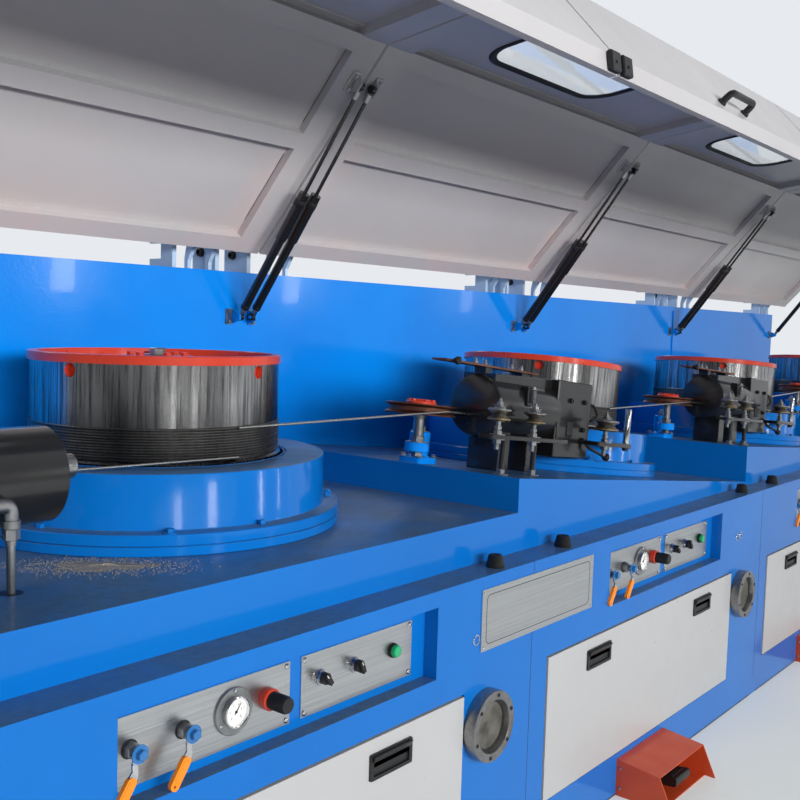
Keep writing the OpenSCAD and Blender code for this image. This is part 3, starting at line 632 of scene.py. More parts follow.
def make_floor():
    """Pale floor; the camera, metal and glass see it lighter than the lamps alone leave it."""
    s, z = FLOOR_HALF, -FLOOR_DROP
    me = bpy.data.meshes.new("floor")
    me.from_pydata([(-s, -s, z), (s, -s, z), (s, s, z), (-s, s, z)], [], [(0, 1, 2, 3)])
    floor = bpy.data.objects.new("floor", me)
    bpy.context.scene.collection.objects.link(floor)
    mat = Shader("floor", (0.56, 0.58, 0.57), 0.6)
    path = mat.node("ShaderNodeLightPath").outputs
    seen = mat.calc("MAXIMUM", mat.calc("MAXIMUM", path["Is Camera Ray"], path["Is Glossy Ray"]),
        path["Is Transmission Ray"])
    mat.set("Emission Strength", mat.calc("MULTIPLY", seen, FLOOR_GLOW))
    mat.set("Emission Color", (0.97, 1.0, 0.99, 1))
    me.materials.append(mat.mat)


# ---- Drums and ring housings ----
RIM_T, RIM_OUT, SHELL_T, HOLE_R, WIRE_D, TURNS = 18, 5, 14, 14, 5.5, 12
RIM_RISE, RING_W, FOOT_W, FOOT_H, DRUM_GAP = 216, 105, 36, 41, 14
HOLE_TURN = [14, 29.5, 29.5, 29.5]


def cut(o, shape, mat):
    """Cuts a shape out of an object, once, and keeps the result, with the shape's material on the cut."""
    me = bpy.data.meshes.new("cutter")
    me.from_pydata([tuple(Vector(p) * MM) for p in shape[0]], [], shape[1])
    me.materials.append(MATS[mat])
    tool = bpy.data.objects.new("cutter", me)
    bpy.context.scene.collection.objects.link(tool)
    mod = o.modifiers.new("cut", "BOOLEAN")
    mod.operation, mod.object, mod.solver = "DIFFERENCE", tool, "EXACT"
    mod.material_mode = "TRANSFER"
    bpy.context.view_layer.update()
    got = bpy.data.meshes.new_from_object(o.evaluated_get(bpy.context.evaluated_depsgraph_get()))
    o.modifiers.clear()
    old, o.data = o.data, got
    bpy.data.meshes.remove(old)
    bpy.data.objects.remove(tool)
    got.set_sharp_from_angle(angle=math.radians(32))


def drum(i):
    n = i + 1
    r, top, ring = DRUM_R[i], TOP_H[i], TOP_H[i] - RIM_RISE
    at = deck_frame(i, 0, AXIS_V[i], 0)
    inner = r - SHELL_T
    shell = Piece(f"drum_shell_{n}", f"drum_{n}", "hard_steel", [f"drum_steel_{n}", "red_paint"])
    shell.add(lathe([(inner, ring - 20), (r + 7, ring - 20), (r + 7, ring + 2), (r + 1, ring + 7),
        (r, ring + 12), (r, top - RIM_T), (inner, top - RIM_T)], 160, closed=True), at)
    o = shell.done()
    pins = joined(*[moved(disc(HOLE_R, 0, 60, 28), turn(90 * k + HOLE_TURN[i], "Z")
        @ shift(r - 38, 0, top - RIM_T - HOLE_R - 1) @ turn(90, "Y")) for k in range(4)])
    cut(o, moved(pins, at), "red_paint")
    rim = Piece(f"drum_rim_{n}", f"drum_{n}", "red_paint", ["red_paint", "galvanised"])
    bowl = top - 75
    rim.add(lathe([(r - 2, top - RIM_T), (r + RIM_OUT, top - RIM_T), (r + RIM_OUT, top - 1.5),
        (r + RIM_OUT - 1.5, top), (inner + 1, top), (inner, top - 1), (inner - 1, top - 46),
        (inner - 5, bowl + 6), (inner - 12, bowl), (95, bowl), (60, bowl + 6), (58, top - 18),
        (62, top - 16), (77, top - 16), (78, top - 15), (78, top - 9), (77, top - 8), (0, top - 8)], 160),
        at)
    rim.around(hex_bolt(16, 8), at, 58, top - 8, range(14, 360, 60))
    rim.add(hex_bolt(30, 14, 3), at @ shift(0, 0, top - 8), 1)
    under = Piece(f"drum_hub_{n}", f"drum_{n}", "hard_steel", ["steel"])
    under.add(lathe([(0, FOOT_H), (35, FOOT_H), (35, ring - 25.5), (75, ring - 25.5), (75, bowl - 16),
        (inner - 1, bowl - 16), (inner - 1, bowl - 4), (0, bowl - 4)], 96), at)
    coil = Piece(f"drum_wire_{n}", f"drum_{n}", "hard_steel", ["wire_steel"])
    low = ring + 8
    for k in range(TURNS):
        wob = 0.25 * math.sin(k * 2.4)
        pts = [(x, y, low + WIRE_D * (k + 0.5)) for x, y in circle(r + 0.1 + wob, 120)]
        coil.add(ring_tube(pts, WIRE_D / 2), at)
    for p in (rim, under, coil):
        p.done(40)
    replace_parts(bpy.data.objects[f"drum_shell_{n}"], f"capstan_{n}")


def ring_tube(points, r, n=8):
    """Closed round bar along a ring of points."""
    verts = []
    mid = sum((Vector(p) for p in points), Vector()) / len(points)
    for p in points:
        out = Vector(p) - mid
        out.z = 0
        out.normalize()
        for j in range(n):
            a = 2 * math.pi * (j + 0.5) / n
            verts.append(tuple(Vector(p) + out * r * math.cos(a) + Vector((0, 0, r * math.sin(a)))))
    return verts, bands(len(points), n, True)


def ring_housings():
    for i in BLOCKS:
        n = i + 1
        r, ring = DRUM_R[i], TOP_H[i] - RIM_RISE
        at = deck_frame(i, 0, AXIS_V[i], 0)
        out, foot = r + RING_W, r + RING_W + FOOT_W
        p = Piece(f"ring_housing_{n}", "cabinet", "blue_paint", ["blue"])
        p.add(lathe([(foot - 1.5, 0.3), (foot, 1.8), (foot, 17), (foot - 1.2, 18.4), (foot - 5, 18.5),
            (foot - 5, 19.5), (foot - 1.5, 19.6), (foot, 21), (foot, FOOT_H - 1.5), (foot - 1.5, FOOT_H),
            (out + 4, FOOT_H), (out + 1, FOOT_H + 1), (out, FOOT_H + 4), (out, ring - 3),
            (out - 1, ring - 1), (out - 3, ring), (r + 22, ring), (r + 21, ring - 4), (r + 18, ring - 4),
            (r + 17, ring), (r + DRUM_GAP, ring), (r + DRUM_GAP, ring - 26), (35.3, ring - 26)], 160), at)
        p.around(box((-5, -6, 0), (5, 6, 9), 1), at, out + 12, FOOT_H, (-95, -40, 20, 80, 140, 200))
        p.around(hex_bolt(13, 7, 2), at, out, 78, (-24, -30), tip=turn(90, "Y"))
        p.around(hex_bolt(14, 7, 2), at, out + 20, FOOT_H, (-33, 57, 147, 237))
        o = p.done()
        if i == 0:
            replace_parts(o, "capstan_bases")


# ---- Front of the cabinets ----
RECESS_U, RECESS_Z, RECESS_D = 377, 540, 34
PLATE_U, PLATE_T, PLATE_H = RECESS_U + 8, 3, 112
PLATE_Z = RECESS_Z + 16
CONTROL_Z = PLATE_Z + 60
DOOR_U, DOOR_Z, DOOR_PROUD = 76, 122, 3
PORT_U, PORT_Z, PORT_D = 1312, 397, 156
NAME_U, NAME_Z, NAME_W, NAME_H = PITCH - 212, 560, 490, 136
VALVE_U, GAUGE_U, REGULATOR_U, LAMP_U = (34, 133), 236, 312, 645
SWITCHES = ((441, 40), (532, 25))
PLATES, EYES = ((0, 365), (393, 311)), ((1272, 591), (1302, 594))
HANDLE_U, HANDLE_Z, HANDLE_W, HANDLE_H = (189, 853), 276, 125, 52
BUMPER_U = (188, 1390)


def front(i, u, z, v=0.0):
    """Frame on the front face: x along the row, y up, z outwards."""
    return Matrix.Translation((block_x(i) + u, FRONT_Y + v, z)) @ turn(90, "X")


def on_plate(i, u, z=CONTROL_Z):
    return front(i, PLATE_U + u, z, RECESS_D - PLATE_T)


DIAL_FROM, DIAL_SWEEP, DIAL_SCALE, NEEDLE_TURN = 225, 270, 0.88, -38


def digit(ch, h, w):
    """Strokes of a plain numeral in a w by h field."""
    seg = {"a": ((0, 1), (1, 1)), "b": ((1, 1), (1, 0.5)), "c": ((1, 0.5), (1, 0)), "d": ((0, 0), (1, 0)),
        "e": ((0, 0), (0, 0.5)), "f": ((0, 0.5), (0, 1)), "g": ((0, 0.5), (1, 0.5))}
    on = {"0": "abcdef", "1": "bc", "2": "abged", "4": "fgbc", "6": "afgedc", "8": "abcdefg"}[ch]
    return [((seg[s][0][0] * w, seg[s][0][1] * h), (seg[s][1][0] * w, seg[s][1][1] * h)) for s in on]


def gauges():
    p = Piece("pressure_gauge_bodies", "cabinet", "chrome", ["galvanised", "chrome", "dial_white",
        "mark_black"])
    for i in BLOCKS:
        plate = on_plate(i, GAUGE_U)
        at = plate @ Matrix.Diagonal((DIAL_SCALE, DIAL_SCALE, 1, 1))
        p.add(lathe([(0, 0), (40, 0), (40, 3), (39, 4), (27, 4), (27, 3), (0, 3)], 64), plate, 0)
        p.add(lathe([(25.5, 3), (29.5, 3), (30, 10), (29.5, 12), (28, 12.5), (26.5, 12), (26, 9)], 64,
            closed=True), at, 1)
        p.add(disc(26, 3.2, 7, 64), at, 2)
        p.around(lathe([(3.6, 4), (3.4, 5.6), (2, 6.6), (0, 6.8)], 16), plate, 34, 0, (90, 210, 330), 1)
        for k in range(41):
            a = math.radians(DIAL_FROM - DIAL_SWEEP * k / 40)
            l, w = (4.5, 0.35) if k % 8 == 0 else (2.2, 0.18)
            mid = 22.5 - l / 2
            p.add(box((-l / 2, -w, 7), (l / 2, w, 7.15)), at @ Matrix.Rotation(a, 4, "Z") @ shift(mid), 3)
        for k, word in enumerate(("0", "2", "4", "6", "8", "10")):
            a = math.radians(DIAL_FROM - DIAL_SWEEP * k / 5)
            cx, cy = 14.5 * math.cos(a), 14.5 * math.sin(a)
            x0 = cx - (len(word) * 3.0 - 1.0) / 2
            for ch in word:
                for (xa, ya), (xb, yb) in digit(ch, 3.4, 1.8):
                    p.add(box((min(xa, xb) - 0.25 + x0, min(ya, yb) - 0.25 + cy - 1.7, 7),
                        (max(xa, xb) + 0.25 + x0, max(ya, yb) + 0.25 + cy - 1.7, 7.15)), at, 3)
                x0 += 3.0
        needle = [(-0.9, -6), (0.9, -6), (0.5, 19), (-0.5, 19)]
        p.add(prism(needle, 8.0, 8.6), at @ turn(NEEDLE_TURN, "Z"), 3)
        p.add(lathe([(0, 7), (2.6, 7), (2.6, 9), (1.8, 9.6), (0, 9.6)], 20), at, 3)
    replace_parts(p.done(), "pressure_gauges")


def ball_valves():
    body = Piece("valve_bodies", "cabinet", "chrome", ["mark_black", "galvanised", "valve_blue"])
    lever = Piece("valve_handles", "cabinet", "orange_paint", ["lever_orange", "chrome"])
    for i in BLOCKS:
        for u in VALVE_U:
            at = on_plate(i, u)
            body.add(lathe([(15, 0.1), (15, 0.9), (14, 1), (0, 1)], 40), at)
            body.add(prism(hexagon(23), 0.5, 14, 1.5), at, 1)
            body.add(lathe([(0, 10), (9, 10), (9, 20), (7, 22), (0, 22)], 32), at, 1)
            body.add(hex_bolt(15, 9, 1.5), at @ shift(0, 0, 26.2), 2)
            tilt = at @ turn(-34, "Z")
            lever.add(prism(rounded(18, 20, 8.8), 23, 26), tilt, 1)
            arm = [(-6, -4, 24.5), (-6, -16, 24.5), (-6, -26, 33), (-8, -36, 34)]
            verts = [q for x, y, z in arm for q in ((x, y, z), (-x, y, z), (-x, y, z + 3), (x, y, z + 3))]
            lever.add((verts, [[0, 1, 2, 3], [15, 14, 13, 12]] + bands(4, 4)), tilt, 1)
            lever.add(plate_with_holes(rounded(17, 54, 8, 6, (0, -59)), [circle(2.6, 14, (0, -79))], 31.5,
                39), tilt, 0)
            lever.add(prism(rounded(11, 36, 5, 5, (0, -56)), 38.5, 40, 0.8), tilt, 0)
    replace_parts(body.done(), "ball_valves")
    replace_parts(lever.done(), "valve_levers")


def switches():
    p = Piece("selector_bodies", "cabinet", "black_plastic", ["chrome", "black_plastic", "dial_white"])
    lamp = Piece("lamp_bodies", "cabinet", "green_lamp", ["lamp_green", "black_plastic"])
    reg = Piece("regulator_bodies", "cabinet", "red_paint", ["red_paint", "black_plastic"])
    for i in BLOCKS:
        for u, a in SWITCHES:
            at = on_plate(i, u, CONTROL_Z + 4)
            p.add(lathe([(0, 0), (15, 0), (15, 4), (14, 6), (12.5, 6.4), (11.5, 10), (0, 10)], 48), at)
            p.add(lathe([(0, 9), (11, 9), (11, 18), (10, 19), (0, 19)], 40), at, 1)
            knob = [(-4.2, -13), (4.2, -13), (5.4, 0), (4.0, 13), (-4.0, 13), (-5.4, 0)]
            p.add(prism(knob, 12, 26, 1.4), at @ turn(a, "Z"), 1)
            p.add(box((-0.7, 5, 25.6), (0.7, 12.5, 26.2)), at @ turn(a, "Z"), 2)
        at = on_plate(i, LAMP_U, CONTROL_Z + 4)
        lamp.add(lathe([(0, 0), (14.5, 0), (14.5, 4), (13.5, 6), (0, 6)], 48), at, 1)
        lamp.add(lathe([(11.8, 6), (11.8, 12), (10.5, 14.6), (7, 15.8), (0, 16.2)], 48), at)
        lamp.around(box((11.5, -0.5, 6.2), (12.3, 0.5, 12.5)), at, 0, 0, range(0, 360, 15))
        at = on_plate(i, REGULATOR_U)
        reg.add(lathe([(0, 0), (19, 0), (19.5, 4), (19, 12), (17, 14), (0, 14)], 48), at)
        reg.add(lathe([(0, 13), (15.5, 13), (15.5, 20), (14.6, 22), (14.6, 48), (13, 51.4), (0, 52)], 48),
            at, 1)
        reg.around(box((14.2, -0.7, 23), (15.2, 0.7, 47), 0.3), at, 0, 0, range(0, 360, 12), 1)
    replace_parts(p.done(), "selector_switches")
    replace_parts(lamp.done(), "signal_lamps")
    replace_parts(reg.done(), "air_regulators")


def pan_head(d, h):
    return lathe([(d / 2, 0), (d * 0.48, h * 0.4), (d * 0.36, h * 0.8), (d * 0.18, h), (0, h)], 20)


def plates():
    p = Piece("panel_trim", "cabinet", "brushed", ["chrome", "mark_black"])
    for i in BLOCKS:
        for u0, w in PLATES:
            for du in (8, w - 8):
                for dz in (8, PLATE_H - 8):
                    p.add(pan_head(11, 3.4), on_plate(i, u0 + du, PLATE_Z + dz), 0)
        for u, z in EYES:
            p.add(lathe([(12, 0), (12, 1.6), (11, 2.6), (9.6, 2.6), (9, 1.4), (9, 0)], 40, closed=True),
                front(i, u, z), 0)
    at = front(0, NAME_U + NAME_W / 2, NAME_Z + NAME_H / 2, -PLATE_T)
    outer = rounded(NAME_W - 34, NAME_H - 26, 14)
    inner = rounded(NAME_W - 37, NAME_H - 29, 12.5)
    p.add(plate_with_holes(outer, [inner], 0.0, 0.25), at, 1)
    for x, y in corners(NAME_W / 2 - 8, NAME_H / 2 - 8):
        p.add(pan_head(7, 2), at @ shift(x, y, 0), 0)
    p.done()
    dress(["face_plates"], "plate_steel")


def sight_ports():
    p = Piece("sight_port_bodies", "cabinet", "brushed", ["port_steel", "black_plastic", "sight_glass"])
    r = PORT_D / 2
    for i in BLOCKS:
        at = front(i, PORT_U, PORT_Z)
        p.add(lathe([(0, 0), (r, 0), (r, 27), (r - 1, 29), (r - 3, 30), (r - 18, 30), (r - 19.5, 29),
            (r - 23, 20), (r - 23.5, 14), (0, 14)], 96), at)
        p.add(lathe([(r - 27, 14), (r - 23.2, 14), (r - 23.2, 17), (r - 27, 15.5)], 64, closed=True), at, 1)
        # Opaque dark disc for the glass: painted shade for the unlit inside behind it.
        p.add(lathe([(r - 26.6, 15), (0, 15.3)], 64), at, 2)
        p.around(cap_screw(9, 1.4, 4), at, r - 10, 29.8, range(20, 380, 60), 1)
    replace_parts(p.done(), "sight_ports")


def door_handles():
    p = Piece("handle_pockets", "cabinet", "black_plastic", ["black_plastic"])
    w, h = HANDLE_W, HANDLE_H
    for i in BLOCKS:
        for u in HANDLE_U:
            at = front(i, DOOR_U + u + w / 2, DOOR_Z + HANDLE_Z + h / 2, -DOOR_PROUD)
            p.add(plate_with_holes(rounded(w, h, 4), [rounded(w - 18, h - 24, 3, 4, (0, -5))], 0, 4.6), at)
            p.add(box((-w / 2 + 8, -h / 2 + 6, 0.1), (w / 2 - 8, h / 2 - 18, 0.6)), at)
            cover = [(0, 4.5), (9, 4.5), (11, 6), (20, 10.6), (22, 10.2), (22, 4.5)]
            outline = [(h / 2 - 26 + x, z) for x, z in cover]
            body = prism([(z, y) for y, z in outline], -w / 2 + 6, w / 2 - 6)
            p.add(([(q[2], q[1], q[0]) for q in body[0]], body[1]), at)
    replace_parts(p.done(), "door_handles")


def bumpers():
    p = Piece("bumper_feet", "cabinet", "rubber", ["rubber", "galvanised"])
    for i in BLOCKS:
        for u in BUMPER_U:
            at = Matrix.Translation((block_x(i) + u, FRONT_Y + 36, LEDGE_Z))
            p.add(lathe([(21, 0), (21, 5), (20, 7), (16, 25.4), (14, 27.6), (12, 28), (6, 28), (5.4, 27),
                (5.4, 18), (0, 18)], 48), at)
            p.add(hex_bolt(8.5, 5), at @ shift(0, 0, 18), 1)
    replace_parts(p.done(), "rubber_bumpers")


def seams():
    """Dark gaps between the cabinets, and a black strip along the foot of each: painted shade where the
    cabinet stands on the floor.
    """
    p = Piece("cabinet_seams_and_foot_shade", "cabinet", "blue_paint", ["mark_black"])
    for i in LATER:
        x = block_x(i)
        p.add(box((x - 0.8, FRONT_Y - 0.25, 60), (x + 0.8, FRONT_Y + 1, LEDGE_Z - 2)))
    for i in BLOCKS:
        x = block_x(i)
        # black strip along the foot: painted shade under the cabinet
        p.add(box((x + 30, FRONT_Y - 0.4, 0.2), (x + PITCH - 30, FRONT_Y + 2, 4)))
    p.done()


# ---- Die boxes, rollers and guide wheels ----
BOX_R, BOX_H = 82.5, 168
BOX_FROM = [-806, -744, -744, -744]
BOX_TO = [-426, -436, -436, -436]
WIRE_H = 142
ROLLER_V, ROLLER_R, STAND_H = 168, 29, 88
ROLLERS_A, LAST_A = (-827, -661), -266
ARM_PIVOT, WHEEL_AT = (-785, 440), (-860, 388)
WHEEL_R = 92


def box_v(i):
    return AXIS_V[i] - DRUM_R[i] - WIRE_D / 2


def along_x(i, a, h):
    """Frame with z along the row, at a point of the die box line."""
    return deck_frame(i, a, box_v(i), h) @ turn(90, "Y")


def die_boxes():
    first = Piece("die_box_1", "cabinet", "black_paint", ["black_paint", "galvanised", "steel",
        "mark_black"])
    a0, a1 = BOX_FROM[0], BOX_TO[0]
    l = a1 - a0
    at = along_x(0, a0, BOX_H)
    first.add(lathe([(0, 0), (BOX_R - 2, 0), (BOX_R, 2), (BOX_R, l - 10), (BOX_R - 1.5, l - 8),
        (BOX_R - 5, l - 8), (BOX_R - 5, l - 6.5), (0, l - 6.5)], 96), at)
    # outlet at the right end, where the wire leaves: a turned disc and its nozzle
    first.add(lathe([(0, l - 7), (27, l - 7), (29, l - 5), (29, l + 27), (27, l + 29), (14, l + 29),
        (12, l + 27), (0, l + 27)], 64), at, 1)
    first.add(lathe([(5, l + 26), (10, l + 26), (10, l + 36), (9, l + 38), (5, l + 38)], 32, closed=True),
        at, 2)
    first.around(hex_bolt(8, 4), at, 20, l + 29, range(45, 405, 90), 1)
    first.add(lathe([(0, l - 9), (20, l - 9), (21, l - 7), (21, l + 8), (19, l + 10), (7, l + 10),
        (6, l + 6), (0, l + 6)], 48), at @ shift(-18, -57, 0), 2)
    for a in (a0 + 45, a0 + 135):
        first.add(box((a - 25, -50, 0.3), (a + 25, 50, BOX_H - 62), 2), deck_frame(0, 0, box_v(0), 0), 0)
    # pipe fitting ahead of the first box: elbow, nut and the thin pipe down into the deck
    at = deck_frame(0, -547, 258, 0)
    first.add(tube(bend([(-44, 17, 140), (-44, 0, 140), (0, 0, 140), (0, 0, 106)], 20, 10), 11.5, 28), at,
        1)
    first.add(tube([(-44, 14, 140), (-44, 5, 140)], 15, 28), at, 1)
    first.add(tube([(0, 0, 116), (0, 0, 104)], 14.5, 28), at, 1)
    first.add(prism(hexagon(24), 86, 104, 1.5), at, 1)
    first.add(tube([(0, 0, 88), (0, 0, 0.5)], 7, 24), at, 1)
    first.add(tube([(0, 0, 84), (0, 0, 77)], 9, 24), at, 2)
    # Black ring on the deck round the pipe's foot: painted shade in the hole it goes down through.
    first.add(lathe([(7.2, 0.15), (19, 0.15), (19, 0.5), (7.2, 0.5)], 40), at, 3)
    first.done()
    for i in LATER:
        later_box(i)
    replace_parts(bpy.data.objects["die_box_1"], "die_boxes")


POWDER_A, POWDER_V, POWDER_TURN, GRAINS = -350, 312, -44, 1500


def powder_patch():
    """Drawing powder spilt on the first deck by the ring housing: a low uneven heap and loose grains."""
    p = Piece("drawing_powder", "cabinet", "black_plastic", ["powder"])
    at = deck_frame(0, POWDER_A, POWDER_V, 0) @ turn(POWDER_TURN, "Z")
    rings, cols, verts = 14, 72, []
    for a in range(cols):
        w = 2 * math.pi * a / cols
        reach = 1 + 0.16 * math.sin(3 * w + 1) + 0.09 * math.sin(7 * w) + 0.05 * math.sin(13 * w + 2)
        for b in range(rings + 1):
            s = b / rings
            lump = 0.62 + 0.22 * math.sin(2.1 * w + 5 * s) + 0.16 * math.sin(5 * w - 9 * s)
            verts.append((88 * reach * s * math.cos(w) + 8 * (1 - s), 36 * reach * s * math.sin(w),
                0.1 + 5.0 * lump * (1 - s) ** 1.6))
    p.add((verts, [[k, k + 1, m + 1, m] for a in range(cols) for b in range(rings) for k,
        m in [(a * (rings + 1) + b, (a + 1) % cols * (rings + 1) + b)]]), at)
    seed = 7

    def chance():
        nonlocal seed
        seed = (seed * 1103515245 + 12345) % 2147483648
        return seed / 2147483648

    for k in range(GRAINS):
        w, far, r = 2 * math.pi * chance(), (chance() + chance()) * 0.85, 0.35 + 0.5 * chance()
        x, y = 125 * far * math.cos(w), 56 * far * math.sin(w)
        p.add(box((x - r, y - r, 0.1), (x + r, y + r, 0.1 + r * 1.3)), at)
    p.done()


def later_box(i):
    n = i + 1
    p = Piece(f"die_box_{n}", "cabinet", "black_paint", ["black_paint", "copper", "galvanised",
        "black_plastic", "steel", "dark_steel"])
    a0, a1 = BOX_FROM[i], BOX_TO[i]
    l = a1 - a0
    at = along_x(i, a0, BOX_H)
    p.add(lathe([(0, 0), (BOX_R - 12, 0), (BOX_R - 3, 3), (BOX_R, 10), (BOX_R, l), (BOX_R - 2, l + 2),
        (0, l + 2)], 96), at)
    p.add(lathe([(0, l), (30, l), (30, l + 28), (28, l + 30), (0, l + 30)], 48), at)
    deck = deck_frame(i, 0, box_v(i), 0)
    for a in (a0 + 85, a1 - 85):
        p.add(box((a - 25, -50, 0.3), (a + 25, 50, BOX_H - 62), 2), deck)
    top = BOX_H + BOX_R
    roof = prism([(a0 + 14, BOX_H), (a0 + 14, top + 2), (a1 + 20, top + 12), (a1 + 20, BOX_H)], -52, 50,
        1.5)
    p.add(roof, deck @ turn(90, "X"), 0)
    # head block beside the die, with its clamp
    h0 = a1 - 10
    p.add(box((h0, -75, FOOT_H + 4), (h0 + 191, -15, top + 12), 3), deck)
    p.add(box((h0 + 2, -79, BOX_H - 84), (h0 + 14, -10, BOX_H + 20), 1.5), deck)
    p.add(box((h0 + 60, -79, BOX_H - 60), (h0 + 92, -70, BOX_H - 20), 2), deck, 5)
    for da, dz in ((70, 40), (150, 40), (150, -40)):
        p.add(cap_screw(14, 8, 7), deck @ shift(h0 + da, -74.5, BOX_H + dz) @ turn(90, "X"), 5)
    # lid: narrow plate on two supports, with nuts, over the back half of the box
    lid = deck @ shift(-885, 22, top + 20)
    p.add(prism(rounded(445, 50, 6, 6, (222.5, 0)), 0, 5, 0.6), lid, 1)
    for a in (160, 205, 335, 385):
        p.add(stud(13, 7, 8, 7, 1.5), lid @ shift(a, 0, 5), 2)
    for a in (196, 376):
        p.add(box((a - 15, -20, -24), (a + 15, 18, 0.5), 1.5), lid, 5)
    p.add(lathe([(0, 0), (7, 0), (7, 4), (10, 6), (11, 10), (10, 15), (6, 18), (0, 19)], 32),
        lid @ shift(34, -24, 2.5) @ turn(90, "X"), 3)
    # spring clamp hanging from the lid at the front of the box
    p.add(box((a0 + 118, -BOX_R - 6, BOX_H + 10), (a0 + 150, -BOX_R + 22, BOX_H + 62), 2), deck, 5)
    p.add(tube(spring(8, 1.6, 36, 7), 1.6, 8), deck @ shift(a0 + 134, -BOX_R - 9, BOX_H + 16), 4)
    p.add(hex_bolt(14, 7, 1.5), deck @ shift(a0 + 134, -BOX_R - 9, BOX_H + 54), 2)
    # clamp lever with a round knob, low at the right end
    start = (h0 + 150, -78, BOX_H - 66)
    p.add(tube([start, (h0 + 178, -92, BOX_H - 92), (h0 + 236, -112, BOX_H - 112)], 5, 14), deck, 5)
    p.add(lathe([(0, -12), (6, -10.5), (11, -5), (12, 0), (11, 5), (6, 10.5), (0, 12)], 24),
        deck @ shift(h0 + 240, -113, BOX_H - 113), 3)
    p.add(tube(bend([(h0 + 196, -40, BOX_H + 30), (h0 + 222, -66, BOX_H + 40), (h0 + 232, -80, BOX_H + 4),
        (h0 + 205, -70, BOX_H - 12)], 18, 6), 4, 12), deck, 3)
    p.done()


def spring(r, wire, h, turns):
    """Centre line of a coil spring that stands on Z."""
    ring, steps = circle(r, 14), turns * 14
    return [(*ring[k % 14], wire + (h - 2 * wire) * k / steps) for k in range(steps + 1)]


def pulley(r, half, groove):
    """Profile of a line roller: two flanges and a deep groove."""
    return [(6.3, -half), (r * 0.5, -half), (r * 0.56, -half + 2), (r - 3, -half + 2), (r, -half + 4),
        (r, -half + 7), (groove + 2, -3.2), (groove, -2), (groove, 2), (groove + 2, 3.2), (r, half - 7),
        (r, half - 4), (r - 3, half - 2), (r * 0.56, half - 2), (r * 0.5, half), (6.3, half)]


def rollers():
    p = Piece("line_roller_set", "cabinet", "brushed", ["steel", "brassy", "dark_steel", "galvanised"])
    st = Piece("roller_brackets", "cabinet", "dark_steel", ["black_paint", "galvanised", "chrome",
        "dark_steel"])
    for i in LATER:
        deck = deck_frame(i, 0, ROLLER_V, 0)
        for a in (*ROLLERS_A, LAST_A):
            at = deck @ shift(a, 0, WIRE_H + 6)
            r = 37 if a == LAST_A else ROLLER_R
            prof = pulley(r, 17, r - 13)
            p.add(lathe(prof[:8], 48), at, 1)
            p.add(lathe(prof[7:9], 48), at, 2)
            p.add(lathe(prof[8:], 48), at)
            p.add(lathe([(0, 15), (14, 15), (14, 19), (9, 20), (9, 22), (0, 22)], 32), at)
            p.add(hex_bolt(16, 8, 1.5), at @ shift(0, 0, 21.5), 3)
            p.add(lathe([(4, 28), (4, 36), (1.2, 41), (0, 41)], 14), at, 3)
            post = deck @ shift(a, 0, 0)
            st.add(lathe([(0, STAND_H - 26), (6, STAND_H - 26), (6, WIRE_H - 10), (10, WIRE_H - 10),
                (10, WIRE_H - 11.3), (0, WIRE_H - 11.3)], 24), post, 1)
            st.add(hex_bolt(20, 9, 2), post @ shift(0, 0, STAND_H + 10), 1)
            st.add(hex_bolt(17, 8), post @ shift(0, 0, STAND_H + 24), 1)
            st.add(hex_bolt(20, 10, 2), post @ shift(0, 0, STAND_H) @ turn(180, "X"), 1)
        st.add(prism(rounded(370, 44, 8, 5, (ROLLERS_A[0] + 130, 0)), STAND_H, STAND_H + 10, 1), deck)
        for a in (ROLLERS_A[0] + 30, ROLLERS_A[1] + 10):
            st.add(tube([(a, 0, 2), (a, 0, STAND_H + 1)], 7, 18), deck)
            st.add(hex_bolt(20, 12, 2), deck @ shift(a, 0, 0.5), 1)
        st.add(prism(rounded(208, 28, 6, 5, (LAST_A + 44, 0)), STAND_H, STAND_H + 12, 1), deck)
        st.add(lathe([(0, STAND_H + 6), (9, STAND_H + 6), (10, STAND_H + 10), (10, STAND_H + 112),
            (9, STAND_H + 115), (0, STAND_H + 115)], 32), deck @ shift(LAST_A + 134, 0, 0), 2)
        st.add(hex_bolt(17, 8, 2), deck @ shift(LAST_A + 134, 0, STAND_H) @ turn(180, "X"), 3)
        st.add(box((LAST_A - 44, 8, STAND_H), (LAST_A - 14, box_v(i) - 75 - ROLLER_V, STAND_H + 12), 1),
            deck, 0)
    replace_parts(p.done(), "line_rollers")
    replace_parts(st.done(), "roller_stands")


